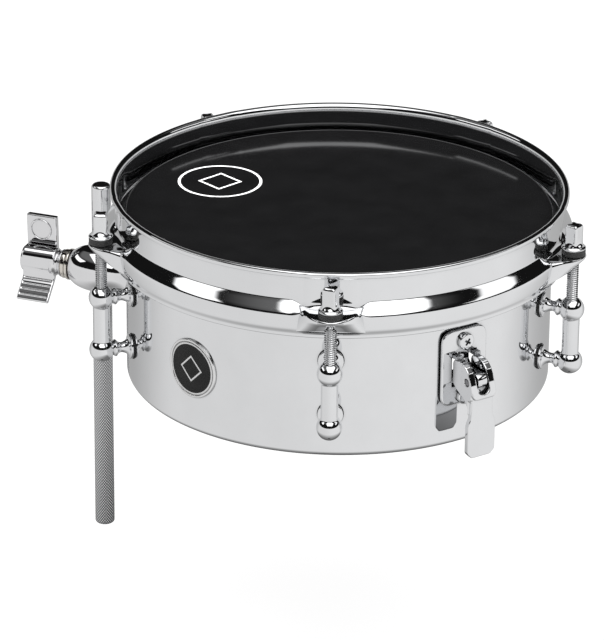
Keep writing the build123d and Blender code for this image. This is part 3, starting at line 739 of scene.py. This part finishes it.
def hoop_rows():
    """Rows (hoop point, ear point, half width, tongue share), and the rows along the slit."""
    def plain(points):
        return [(p, p, EAR_HALF_TOP, 0.0) for p in points]

    def tongue_share(k):
        return min(1.0, max(0.0, (k - 0.45) / 0.55))

    rows = plain(HOOP_RIM)
    rows += [(a, b, EAR_HALF_TOP, 0.0) for a, b in zip(HOOP_FILLET, EAR_FILLET)]
    # ear points spread over its length, keeping the tight corner (points 5 to 10) well covered
    ear = np.array(EAR_TOP)
    run = np.r_[0, np.cumsum(np.hypot(*np.diff(ear, axis=0).T))]
    count = len(HOOP_FLANGE)
    want = np.interp(np.linspace(0, 1, count), [0, 0.30, 0.62, 1.0],
                     [0, run[5], run[10], run[-1]])
    ear = zip(np.interp(want, run, ear[:, 0]), np.interp(want, run, ear[:, 1]))
    for i, (a, b) in enumerate(zip(HOOP_FLANGE, ear)):
        k = i / (count - 1)
        rows.append((a, b, EAR_HALF_TOP + 3.3 * k, tongue_share(k)))
    outer_top = len(rows) - 1
    rows.append(((109.4, 66.0), (109.9, 65.9), EAR_HALF_TIP, 1.0))
    rows += plain(HOOP_LOWER_EDGE)
    rows.append(((108.25, 66.0), (108.5, 65.9), EAR_HALF_TIP, 1.0))
    rows.append(((108.25, 66.0), (115.2, 70.75), EAR_HALF_TIP, 1.0))
    inner_top = len(rows) - 1
    for i, (a, b) in enumerate(zip(HOOP_INSIDE, EAR_UNDERSIDE)):
        k = 1 - i / (len(HOOP_INSIDE) - 1)
        rows.append((a, b, 12.0 + 3.3 * k, tongue_share(k)))
    return rows + plain(HOOP_RETURN), outer_top, inner_top


def hoop_columns():
    """Columns (on an ear, azimuth, position across the ear), fine across each ear."""
    across = np.concatenate([np.linspace(-EAR_EDGE, -1.0, 9)[:-1], np.linspace(-1.0, 1.0, 57),
                             np.linspace(1.0, EAR_EDGE, 9)[1:]])
    ear_angle = math.degrees(math.asin(EAR_ZONE / HOOP_WIDEST))
    azimuths = sorted(a % 360 for a in LUGS.values())
    columns = []
    for azimuth, following in zip(azimuths, azimuths[1:] + [azimuths[0] + 360]):
        columns += [(True, azimuth, float(c)) for c in across]
        gap = np.linspace(azimuth + ear_angle, following - ear_angle, 46)[1:-1]
        columns += [(False, float(a), 0.0) for a in gap]
    return columns


def hoop_point(column, row):
    on_ear, azimuth, c = column
    (r, z), (ear_r, ear_z), half_width, share = row
    a = math.radians(azimuth)
    if not on_ear:
        return r * math.cos(a), r * math.sin(a), z
    if abs(c) <= 1:
        t = c * half_width
    else:
        reach = EAR_ZONE * r / HOOP_WIDEST - half_width
        t = math.copysign(half_width + (abs(c) - 1) / (EAR_EDGE - 1) * reach, c)
    u0 = math.sqrt(r ** 2 - t * t)
    out_weight = max(0.0, 1 - c * c)
    s = min(1.0, max(0.0, (18.5 - abs(t)) / 8.5))
    z_weight = (1 - share) * (s * s * (3 - 2 * s)) + share * out_weight
    u = u0 + out_weight * (ear_r - r + (r - u0) * 0.9)
    return (u * math.cos(a) - t * math.sin(a), u * math.sin(a) + t * math.cos(a),
            z + z_weight * (ear_z - z))


def hoop_shape():
    """Closed section swept round, with five lanced and pulled-out ears."""
    rows, outer_top, inner_top = hoop_rows()
    outer_low, inner_low = outer_top + 1, inner_top - 1
    columns = hoop_columns()
    verts = [hoop_point(column, row) for column in columns for row in rows]
    count = len(rows)
    faces = []
    for i, column in enumerate(columns):
        i2 = (i + 1) % len(columns)
        beside = columns[i2]
        slit = (column[0] and beside[0] and column[1] == beside[1]
                and max(abs(column[2]), abs(beside[2])) <= 1.0 + 1e-9)
        a, b = i * count, i2 * count
        for j in range(count):
            j2 = (j + 1) % count
            if not (slit and j in (outer_top, inner_low)):
                faces.append((a + j, b + j, b + j2, a + j2))
        if slit:
            faces.append((a + outer_top, b + outer_top, b + inner_top, a + inner_top))
            faces.append((a + outer_low, a + inner_low, b + inner_low, b + outer_low))
    return verts, faces


def build_hoop():
    hoop = make("hoop_pressing", hoop_shape(), sharp=33.0, merge=2e-3)
    hole = lathe([(0, 70), (3.1, 70), (3.1, 82), (0, 82)], 32)
    cut(hoop, join([place(hole, az, (ROD_AXIS, 0, 0)) for az in LUGS.values()]))
    smooth(hoop, 33.0)
    settle(hoop, "hoop_chrome", "hoop", "counter_hoop")


# ------------------------------------------------------------------ tension rods
THREAD_PITCH = 25.4 / 24
THREAD_R, THREAD_DEPTH = 2.75, 0.52
KEY_HALF = 3.175                    # half the width of the square key head
ROD_TIP = [(0.0, 39.0), (1.6, 39.0), (2.05, 39.15), (2.35, 39.6), (2.35, 47.0), (2.6, 47.3)]
ROD_COLLAR = [(2.5, 75.9), (2.62, 76.2), (2.62, 77.0), (2.62, 79.4), (2.62, 79.55), (5.45, 79.55),
              (5.65, 79.62), (5.75, 79.8), (5.72, 80.0), (5.6, 80.2), (5.3, 80.42), (4.9, 80.62),
              (4.75, 80.75), (4.62, 81.0), (4.45, 81.35)]
# square part: offset from the key's square, z
ROD_KEY = [(0, 83.2), (0, 85.5), (0, 88.0), (0, 89.6), (-0.06, 90.2), (-0.25, 90.7), (-0.6, 91.1),
           (-1.05, 91.38), (-1.5, 91.5), (-2.4, 91.58)]


def rod_shape():
    segments = 56
    angle = full_turn(segments)
    rings = list(ROD_TIP)
    z = 47.4
    while z < 75.6:
        phase = np.mod((z - THREAD_PITCH * angle / (2 * math.pi)) / THREAD_PITCH, 1.0)
        flank = np.clip((np.abs(2 * phase - 1) - 0.12) / 0.72, 0, 1)
        fade = min(1.0, max(0.0, (75.8 - z) / 1.1))
        rings.append((THREAD_R - THREAD_DEPTH * (1 - flank) * fade, z))
        z += THREAD_PITCH / 9
    square = (np.abs(np.cos(angle)) ** 9 + np.abs(np.sin(angle)) ** 9) ** (-1 / 9.0) * KEY_HALF
    rings += ROD_COLLAR
    # round to square: radius, z, share of the square
    rings += [(r * (1 - k) + square * k, z) for r, z, k in ((4.32, 81.8, 0.3), (4.2, 82.4, 0.6))]
    rings += [(square + offset, z) for offset, z in ROD_KEY]
    rings.append((0.0, 91.62))
    return place(lathe(rings, segments), -18)


def build_rods():
    rod = rod_shape()
    for name, az in LUGS.items():
        ob = make("rod_threaded_" + name, place(rod, az, (ROD_AXIS, 0, 0)), sharp=36.0)
        settle(ob, "rod_chrome", "rod_" + name, "tension_rod_" + name)


# nylon washer: (r, z)
NYLON_WASHER = [(3.05, 76.36), (5.2, 76.36), (5.5, 76.45), (5.6, 76.7), (5.6, 77.7), (5.5, 77.85),
                (5.5, 77.95), (5.6, 78.1), (5.6, 79.1), (5.5, 79.38), (5.25, 79.5), (3.3, 79.5),
                (3.05, 79.3), (3.05, 76.36)]


def build_nylon_washers():
    washer = lathe(NYLON_WASHER, 64)
    shape = join([place(washer, az, (ROD_AXIS, 0, 0)) for az in LUGS.values()])
    settle(make("washers_moulded", shape, sharp=50), "black_nylon", "hoop", "nylon_washers")


# ------------------------------------------------------------------ tube lugs
BALL_R, TUBE_R = 6.0, 4.0
# post from the shell to the tube: (x, r)
LUG_POST = [(108.0, 0), (108.0, 2.1), (101.34, 2.1), (101.34, 5.35), (101.42, 5.62),
            (101.62, 5.85), (101.85, 5.9), (102.4, 5.9), (102.62, 5.82), (102.8, 5.6),
            (102.88, 5.3), (102.92, 4.85), (103.05, 4.45), (103.35, 4.05), (103.8, 3.6),
            (104.4, 3.12), (105.1, 2.78), (105.9, 2.5), (106.6, 2.42), (107.2, 2.5), (107.7, 2.72),
            (108.1, 3.0), (108.45, 3.35), (108.75, 3.72), (108.95, 3.95), (109.2, 4.05),
            (109.55, 4.05), (109.8, 3.9), (110.1, 3.6), (111.0, 3.2), (113.0, 3.0), (113.0, 0)]


def lug_shape():
    """Tube with a ball at each end, hollow at the top, on two posts."""
    low, high = LUG_POSTS
    joint = math.sqrt(BALL_R ** 2 - TUBE_R ** 2)
    joint_angle = math.degrees(math.asin((joint - 0.5) / BALL_R))
    profile = [(0, 17.6), (1.1, 17.6), (1.1, 16.3)]
    profile += arc(0, low, BALL_R, -79, -1, 22) + [(BALL_R, low)]
    profile += arc(0, low, BALL_R, 1, joint_angle, 9)
    neck = [(4.18, 0.12), (4.02, -0.25), (TUBE_R, -0.6)]    # r, depth into the ball
    profile += [(r, low + joint - depth) for r, depth in neck]
    profile += [(r, high - joint + depth) for r, depth in reversed(neck)]
    profile += arc(0, high, BALL_R, -joint_angle, 55, 22)
    profile += [(3.35, high + 5.02), (3.1, high + 5.1), (2.86, high + 4.7), (2.86, high - 8.0),
                (0, high - 8.6)]
    lug = make("lug", place(lathe(profile, 72), offset=(ROD_AXIS, 0, 0)))
    fuse(lug, *[lathe_radial(LUG_POST, 56, z) for z in LUG_POSTS])
    return take_shape(lug)


def build_lugs():
    lug = lug_shape()
    for name, az in LUGS.items():
        ob = make("lug_turned_" + name, place(lug, az), sharp=40, merge=1e-5)
        settle(ob, "lug_chrome", "root", "lug_" + name)


# ------------------------------------------------------------------ mounting rod
def build_mount_rod():
    """Upright rod with a rolled diamond knurl below and a rounded top."""
    segments = 144
    turns = full_turn(segments) / (2 * math.pi)

    def groove(z):
        depth = [np.mod(KNURL_STARTS * (turns + hand * z / KNURL_LEAD), 1.0) for hand in (1, -1)]
        land = [np.clip(np.minimum(d, 1 - d) / 0.30, 0, 1) for d in depth]
        return 0.26 * (1 - np.minimum(*land))

    # r, z, share of the knurl
    rows = [(0, -105.4, 0), (2.8, -105.4, 0), (3.9, -105.3, 0), (4.3, -105.05, 0),
            (4.62, -104.65, 0.3)]
    z = -104.4
    while z < 16.0:
        rows.append((KNURL_R, z, 1.0))
        z += 0.24
    rows += [(4.79, 16.2, 0.5), (4.775, 16.5, 0.15)]
    rows += [(MOUNT_R, z, 0) for z in (16.9, 20, 40, 60, 74.3)]
    rows += [(r, z, 0) for r, z in arc(MOUNT_R - 1.6, 76.1 - 1.6, 1.6, 8, 90, 8)]
    rows += [(2.0, 76.13, 0), (0, 76.14, 0)]
    rod = lathe([(r - groove(z) * k, z) for r, z, k in rows], segments)
    ob = make("rod_knurled", place(rod, BRACKET_AZ, (MOUNT_AXIS, 0, 0)), sharp=60)
    settle(ob, "mount_rod_chrome", "mount_rod", "mount_rod")


# ------------------------------------------------------------------ shell and head
# (r, z): up the outside from the turned-in lower edge, and down the inside
SHELL = [(95.4, 0.0), (98.0, 0.0)] + arc(98.0, 3.0, 3.0, -90, 0, 14)[1:] + \
    [(101.0, 20.0), (101.0, 40.0), (101.0, 60.0), (101.0, 81.4)] + \
    arc(100.1, 81.6, 0.9, 0, 90, 6)[1:] + arc(100.1, 82.2, 0.3, 90, 180, 3)[1:] + \
    [(99.8, 60.0), (99.8, 40.0), (99.8, 20.0)] + arc(98.0, 3.0, 1.8, 0, -90, 10) + \
    [(95.4, 1.2), (95.3, 0.6)]
FILM = [(0, 82.85), (30, 82.85), (60, 82.85), (85, 82.85), (97.0, 82.85), (98.4, 82.84),
        (99.2, 82.80), (99.75, 82.74), (100.15, 82.66), (100.5, 82.54), (100.82, 82.36),
        (101.05, 82.1), (101.22, 81.75), (101.32, 81.3), (101.36, 80.6), (101.36, 77.5),
        (101.3, 77.4), (101.12, 77.4), (101.06, 77.5), (101.06, 80.6), (101.0, 81.2),
        (100.86, 81.7), (100.6, 82.12), (100.2, 82.42), (99.7, 82.52), (98, 82.55), (60, 82.55),
        (0, 82.55)]


def build_shell():
    shell = make("shell_spun", lathe(SHELL, 320, closed=True), sharp=35)
    holes = [(az, LUG_POSTS, 2.3) for az in LUGS.values()]
    holes += [(BRACKET_AZ, BRACKET_SCREWS, 2.2), (STRAINER_AZ, STRAINER_SCREWS, 2.2)]
    cuts = [place(bore(r, (96, 0, z), (104, 0, z), 28), az)
            for az, heights, r in holes for z in heights]
    window = rounded([(-7.8, 37.6), (7.8, 37.6), (7.8, 48.2), (-7.8, 48.2)], 0.6, 3)
    cuts.append(place(slab(window, 96, 104, radius=0.01, steps=1), STRAINER_AZ))
    cut(shell, join(cuts))
    smooth(shell, 35)
    settle(shell, "shell_chrome", "root", "shell")
    settle(make("head_film", lathe(FILM, 288), sharp=60), "head_film_black", "root",
           "drumhead_film")


# ------------------------------------------------------------------ badge
# (radius about the badge centre, distance from the drum axis)
BADGE_RIM = [(0, 101.03), (8, 101.03), (14.0, 101.03), (14.35, 101.03), (14.4, 101.3),
             (14.38, 101.75), (14.25, 101.98), (14.05, 102.1), (13.8, 102.15), (13.5, 102.12),
             (13.25, 102.0), (13.08, 101.8), (12.98, 101.56), (12.7, 101.54), (8, 101.54),
             (0, 101.54)]
BADGE_INLAY = [(0, 101.57), (8, 101.57), (12.6, 101.57), (12.75, 101.66), (12.75, 101.85),
               (12.66, 101.93), (12.5, 101.96), (12.2, 101.98), (11.95, 101.96), (11.85, 101.88),
               (11.7, 101.86), (8, 101.86), (4, 101.86), (0, 101.86)]


def on_shell(profile):
    """Badge profile turned about its centre and wrapped on the shell."""
    angle = full_turn(112)
    rings = []
    for radius, height in profile:
        y, z = radius * np.cos(angle), radius * np.sin(angle)
        rings.append(np.stack([np.sqrt(height * height - y * y), y, BADGE_Z + z], 1))
    return place((np.concatenate(rings), grid_faces(len(profile), 112)), BADGE_AZ)


def build_badge():
    settle(make("badge_rim", on_shell(BADGE_RIM), sharp=40), "badge_metal", "root",
           "badge_plate")
    settle(make("badge_enamel", on_shell(BADGE_INLAY), sharp=40), "badge_black", "root",
           "badge_inlay")


# ------------------------------------------------------------------ bracket
BOSS = [(103.6, 11.6), (106.6, 9.9), (111.0, 9.3), (117.0, 10.4), (123.0, 11.5), (129.0, 11.1),
        (134.5, 9.4), (137.4, 7.5)]     # x, r
FLAT_WASHER = [(138.03, 4.2), (138.03, 7.45), (138.15, 7.66), (138.4, 7.7), (139.15, 7.7),
               (139.4, 7.6), (139.5, 7.4), (139.5, 4.2)]                    # x, r
SPRING_WASHER = [(139.72, 4.3), (141.72, 4.3), (141.72, 7.2), (139.72, 7.2)]    # x, r


def build_bracket():
    """Hollow boss on a slot-shaped foot, flat on top and bored for the mounting rod."""
    profile = [(101.4, 0), (101.4, 11.6), (103.2, 11.75)] + spline(BOSS, 52)
    profile += [(137.75, 7.15), (137.95, 6.7), (138.0, 6.2), (138.0, 0)]
    boss = make("bracket_boss", lathe_radial(profile, 128, BRACKET_Z))
    foot = slab(stadium(36.0, 17.0), 101.33, 104.2, radius=0.7)
    fuse(boss, place(foot, offset=(0, 0, BRACKET_Z)))
    cut(boss,
        slab([(104, -20), (150, -20), (150, 20), (104, 20)], BRACKET_Z + 10.1, BRACKET_Z + 20,
             radius=0.05, steps=1, facing="z"),
        bore(8.1, (100, 0, BRACKET_Z), (129.6, 0, BRACKET_Z), 64),
        bore(4.2, (128, 0, BRACKET_Z), (140, 0, BRACKET_Z)),
        bore(4.84, (MOUNT_AXIS, 0, 0), (MOUNT_AXIS, 0, 60), 72),
        *[bore(1.7, (100, 0, z), (103.6, 0, z), 24) for z in BRACKET_SCREWS])
    cast_skin(boss, 0.27, 2)
    turn_mesh(boss, BRACKET_AZ)
    settle(boss, "cast_chrome", "root", "bracket_casting")


def build_bracket_washers():
    flat = place(lathe_radial(FLAT_WASHER, 80, BRACKET_Z, closed=True), BRACKET_AZ)
    settle(make("washer_flat", flat, sharp=40), "washer_nickel", "root", "flat_washer")
    section = rounded(SPRING_WASHER, 0.3, 3)
    steps, rise, start, sweep = 72, 0.14, 68, 350
    verts = []
    for i, a in enumerate(np.linspace(math.radians(start), math.radians(start + sweep), steps)):
        lift = rise * (2 * i / (steps - 1) - 1)
        verts += [(x + lift, r * math.cos(a), BRACKET_Z + r * math.sin(a)) for x, r in section]
    faces = grid_faces(steps, len(section)) + end_caps(steps, len(section))
    settle(make("washer_split", place((verts, faces), BRACKET_AZ), sharp=40), "washer_nickel",
           "root", "spring_washer")


# ------------------------------------------------------------------ wing nut
NUT_COLLAR = [(142.0, 0), (142.0, 6.3), (142.12, 6.62), (142.35, 6.85), (142.6, 6.9),
              (142.85, 6.82), (143.2, 6.5), (143.7, 6.1), (144.3, 5.95), (144.9, 6.05),
              (145.5, 6.4), (146.0, 6.75), (146.4, 6.9), (147.4, 6.9), (148.0, 6.5),
              (162.3, 6.45), (162.75, 6.35), (163.05, 6.1), (163.2, 5.7), (163.2, 0)]   # x, r
# wings: (tangential, z) about the nut's axis
UPPER_WING = [(-2.9, -1.0), (-2.95, 7.4), (-2.3, 22.1), (-5.75, 22.1), (-6.4, 4.0), (-5.4, -1.0)]
LOWER_WING_CURVE = [(0.0, 7.45), (2.6, 7.05), (4.6, 6.0), (5.8, 4.7), (6.35, 3.4), (6.5, 1.5),
                    (6.4, -0.5), (6.0, -2.5), (5.6, -4.5), (5.5, -6.2), (5.9, -7.4),
                    (7.7, -9.2), (9.8, -11.3), (11.9, -13.4), (13.3, -14.8)]
LOWER_WING_BACK = [(13.9, -15.5), (13.95, -16.2), (13.3, -16.75), (12.6, -16.6), (10.3, -14.4),
                   (8.2, -12.3), (6.1, -10.2), (4.1, -8.3), (2.9, -6.9), (1.6, -4.0), (-2.0, 0.0)]
WING_GROOVES = ((5.85, -7.6), (7.95, -9.7), (10.05, -11.8), (12.15, -13.9))
WING_RING = [(4.85, 0.0), (4.85, 0.42), (4.98, 0.58), (5.2, 0.64), (5.42, 0.58), (5.55, 0.42),
             (5.55, 0.0)]       # r, height


def build_wing_nut():
    nut = make("wing_nut_cast", lathe_radial(NUT_COLLAR, 96))
    upper = rounded(UPPER_WING, [0, 0, 0.9, 0.9, 0, 0])
    lower = [(-2.0, 7.0)] + spline(LOWER_WING_CURVE, 46) + LOWER_WING_BACK
    fuse(nut, slab(densify(upper, 1.2), 147.3, 163.0, radius=0.7),
         slab(lower, 145.2, 162.0, radius=0.6))
    cut(nut, *[bore(0.62, (146.0, y + 0.36, z + 0.36), (161.1, y + 0.36, z + 0.36), 20)
               for y, z in WING_GROOVES])
    cut(nut, bore(4.0, (130, 0, 0), (170, 0, 0)))
    nut.data.transform(Matrix.Translation((0, 0, BRACKET_Z * MM)))
    cast_skin(nut, 0.20, 3)

    # raised ring on the face of the upper wing, leaning with it
    v, f = lathe(WING_RING, 72, closed=True)
    x, y, z = v.T
    lean = math.atan2(0.65, 14.7)
    v = np.stack([155.4 + x, -2.66 + z + y * math.sin(lean),
                  BRACKET_Z + 14.8 + y * math.cos(lean) - z * math.sin(lean)], 1)
    ring = make("wing_ring", place((v, f), BRACKET_AZ), sharp=60)
    settle(ring, "cast_chrome", "wing_nut")
    turn_mesh(nut, BRACKET_AZ)
    settle(nut, "cast_chrome", "wing_nut", "wing_nut")


# ------------------------------------------------------------------ throw-off base
# outline in (radial, z) of the tongue that holds the lever pin
TONGUE = [(101.25, 29.5), (103.6, 29.5), (105.5, 30.7), (110.0, 32.4)] + \
    arc(PIN_AT, PIN_Z, 3.6, -70, 80, 14) + \
    [(112.6, 40.2), (110.0, 39.9), (106.0, 40.4), (103.4, 42.6), (102.7, 43.7), (101.25, 43.7)]
SCREW = [(92.2, 0), (92.2, 1.5), (92.7, 1.95), (102.97, 1.95), (102.97, 3.85), (103.1, 4.0),
         (104.35, 4.0), (104.62, 3.95), (104.86, 3.82), (105.05, 3.6), (105.2, 3.2), (105.3, 2.6),
         (105.37, 1.8), (105.41, 1.0), (105.42, 0)]     # x, r


def build_strainer_base():
    """Plate with a window, a bar down its middle and a tongue standing out from it."""
    outline = rounded([(-12.4, 20.9), (12.4, 20.9), (12.4, 58.3), (-12.4, 58.3)], 6.2, 12)
    base = make("strainer_plate", slab(densify(outline, 1.5), 101.15, 102.95, radius=0.75,
                                       steps=5), sharp=40)
    window = rounded([(-6.9, 30.4), (6.9, 30.4), (6.9, 47.3), (-6.9, 47.3)], 0.5, 4)
    cut(base, slab(window, 99, 105, radius=0.01, steps=1))
    fuse(base, slab([(-2.5, 28.0), (2.5, 28.0), (2.5, 49.5), (-2.5, 49.5)], 101.2, 102.9,
                    radius=0.05, steps=1),
         slab(TONGUE, -2.5, 2.5, radius=0.25, steps=2, facing="tangential"))
    cut(base, bore(1.79, (PIN_AT, -6, PIN_Z), (PIN_AT, 6, PIN_Z), 32),
        *[bore(2.15, (99, 0, z), (105, 0, z), 28) for z in STRAINER_SCREWS])
    smooth(base, 32)
    turn_mesh(base, STRAINER_AZ)
    settle(base, "lever_chrome", "root", "strainer_base")


def cross_slot(z, angle):
    """One tapered bar of a screw's cross recess."""
    c, s = math.cos(angle), math.sin(angle)
    verts = []
    for x, width, length in ((103.6, 0.30, 0.7), (106.0, 0.58, 2.25)):
        for q, w in ((-length, -width), (length, -width), (length, width), (-length, width)):
            verts.append((x, q * c - w * s, z + q * s + w * c))
    return verts, [(0, 3, 2, 1), (4, 5, 6, 7), (0, 1, 5, 4), (1, 2, 6, 5), (2, 3, 7, 6),
                   (3, 0, 4, 7)]


def build_strainer_screws():
    screws = []
    for z, turn in zip(STRAINER_SCREWS, (-20, 12)):
        screw = make("screw", lathe_radial(SCREW, 72, z))
        cut(screw, *[cross_slot(z, math.radians(45 + 90 * k + turn)) for k in range(2)])
        screws.append(take_shape(screw))
    settle(make("screws_cross", place(join(screws), STRAINER_AZ), sharp=30), "lever_chrome",
           "root", "strainer_screws")


# ------------------------------------------------------------------ throw lever
# cheeks seen from the side: (radial, z)
CHEEK = [(103.25, 33.2), (103.25, 42.6), (103.7, 44.1), (104.8, 44.95), (107.8, 45.1),
         (110.4, 44.9), (112.8, 43.8), (115.0, 41.8), (116.7, 39.0), (117.9, 36.2), (118.8, 33.2),
         (119.5, 31.4), (119.8, 30.3), (119.5, 29.4), (118.6, 29.1), (117.4, 29.3), (117.2, 27.2),
         (116.9, 25.0), (116.8, 21.5), (115.3, 21.3), (115.3, 24.6), (113.9, 26.4), (111.2, 28.4),
         (107.6, 30.2), (105.2, 31.6)]
CHEEK_RADII = [0.6, 1.0, 1.0, 0.8] + [2] * 6 + [0.8] * 6 + [1, 1, 0.3, 0.3, 1, 1, 1, 1, 1]
# blade seen from outside: (tangential, z)
BLADE = [(-5.7, 31.4), (-5.8, 24.0), (-5.9, 21.5), (-6.2, 19.4), (-7.1, 17.6), (-7.6, 15.8),
         (-7.6, 2.4), (-5.2, -0.2), (5.2, -0.2), (7.6, 2.4), (7.6, 15.8), (7.1, 17.6),
         (6.2, 19.4), (5.9, 21.5), (5.8, 24.0), (5.7, 31.4)]
BLADE_RADII = [0.4, 2, 2, 2, 2, 1.5, 1.2, 1.2, 1.2, 1.2, 1.5, 2, 2, 2, 2, 0.4]
LEVER_CORNER = [(2.0, 27.0), (2.0, 29.0)] + arc(2.5, 33.2, 4.25, -90, 0, 9) + \
    [(6.85, 36.5), (9.0, 36.5), (9.0, 27.0)]
LEVER_NECK = [(6.05, 15.0), (9.0, 15.0), (9.0, 28.6), (6.6, 28.6), (6.05, 27.6)]
PIN = [(0, -6.55), (1.2, -6.55), (1.5, -6.45), (1.7, -6.2), (1.75, -5.9), (1.75, 5.9), (1.7, 6.2),
       (1.5, 6.45), (1.2, 6.55), (0, 6.55)]     # r, tangential


def build_lever():
    """Two cheeks joined in a horseshoe about the pin, and a blade hanging below."""
    cheeks = rounded(CHEEK, CHEEK_RADII, 4)
    lever = make("throw_lever_cast", slab(cheeks, -6.7, 6.7, radius=0.02, steps=1,
                                          facing="tangential"))
    opening = [(3.4 * math.cos(a), 34.9 + 3.4 * math.sin(a))
               for a in np.linspace(math.pi, 2 * math.pi, 17)] + [(3.4, 50.0), (-3.4, 50.0)]
    behind = [(-3.4, 15.0), (3.4, 15.0), (3.4, 46.0), (-3.4, 46.0)]
    cut(lever, slab(opening, 90, 126, radius=0.01, steps=1),
        slab(behind, 100, 115.4, radius=0.01, steps=1))
    # rounded lower corners of the horseshoe, and the narrow neck
    for sign in (1, -1):
        for outline, low in ((LEVER_CORNER, 117.95), (LEVER_NECK, 115.5)):
            cut(lever, slab([(sign * t, z) for t, z in outline], low, 130, radius=0.01, steps=1))
    cut(lever, bore(1.9, (PIN_AT, -9, PIN_Z), (PIN_AT, 9, PIN_Z), 32))
    blade = slab(rounded(BLADE, BLADE_RADII), 115.1, 117.8, radius=0.02, steps=1)
    lever = make("throw_lever_cast", join([take_shape(lever), blade]))
    cast_skin(lever, 0.20, 9)
    turn_mesh(lever, STRAINER_AZ)
    settle(lever, "lever_chrome", "lever", "throw_lever")


def build_pin():
    v, f = lathe(PIN, 40)
    v = np.stack([PIN_AT + v[:, 0], v[:, 2], PIN_Z + v[:, 1]], 1)
    settle(make("pin_turned", place((v, f), STRAINER_AZ), sharp=40), "pin_steel", "lever",
           "lever_pin")


# ------------------------------------------------------------------ snare wires
WIRES, WIRE_PITCH = 8, 2.9
WIRE_TURNS, STEPS_PER_TURN, WIRE_SIDES = 66, 10, 6
COIL_R, WIRE_R, COIL_Z = 0.78, 0.27, 81.2
COIL_X = (-52.6, 58.6)
WIRE_ENDS = ((-55.0, -52.2), (58.2, 61.0))      # x range of the straight end pieces


def coil_shape(y):
    count = WIRE_TURNS * STEPS_PER_TURN + 1
    angle = np.linspace(0, WIRE_TURNS * 2 * math.pi, count)
    cos, sin = np.cos(angle), np.sin(angle)
    centre = np.stack([np.linspace(*COIL_X, count), y + COIL_R * cos, COIL_Z + COIL_R * sin], 1)
    radial = np.stack([np.zeros(count), cos, sin], 1)
    tangent = np.gradient(centre, axis=0)
    tangent /= np.linalg.norm(tangent, axis=1)[:, None]
    binormal = np.cross(tangent, radial)
    verts = np.stack([centre + WIRE_R * (math.cos(q) * radial + math.sin(q) * binormal)
                      for q in full_turn(WIRE_SIDES)], 1)
    faces = grid_faces(count, WIRE_SIDES) + end_caps(count, WIRE_SIDES)
    return verts.reshape(-1, 3), faces


def build_snares():
    wires = []
    for i in range(WIRES):
        y = (i - (WIRES - 1) / 2) * WIRE_PITCH
        wires.append(coil_shape(y))
        wires += [bore(0.45, (x0, y, 80.55), (x1, y, 80.9), 10) for x0, x1 in WIRE_ENDS]
    settle(make("snare_coils", place(join(wires), STRAINER_AZ), sharp=60, merge=1e-6),
           "snare_steel", NODE_BODY["snare_wires"], "snare_wires")


build_hoop()
build_rods()
build_nylon_washers()
build_lugs()
build_mount_rod()
build_shell()
build_badge()
build_bracket()
build_bracket_washers()
build_wing_nut()
build_strainer_base()
build_strainer_screws()
build_lever()
build_pin()
build_snares()
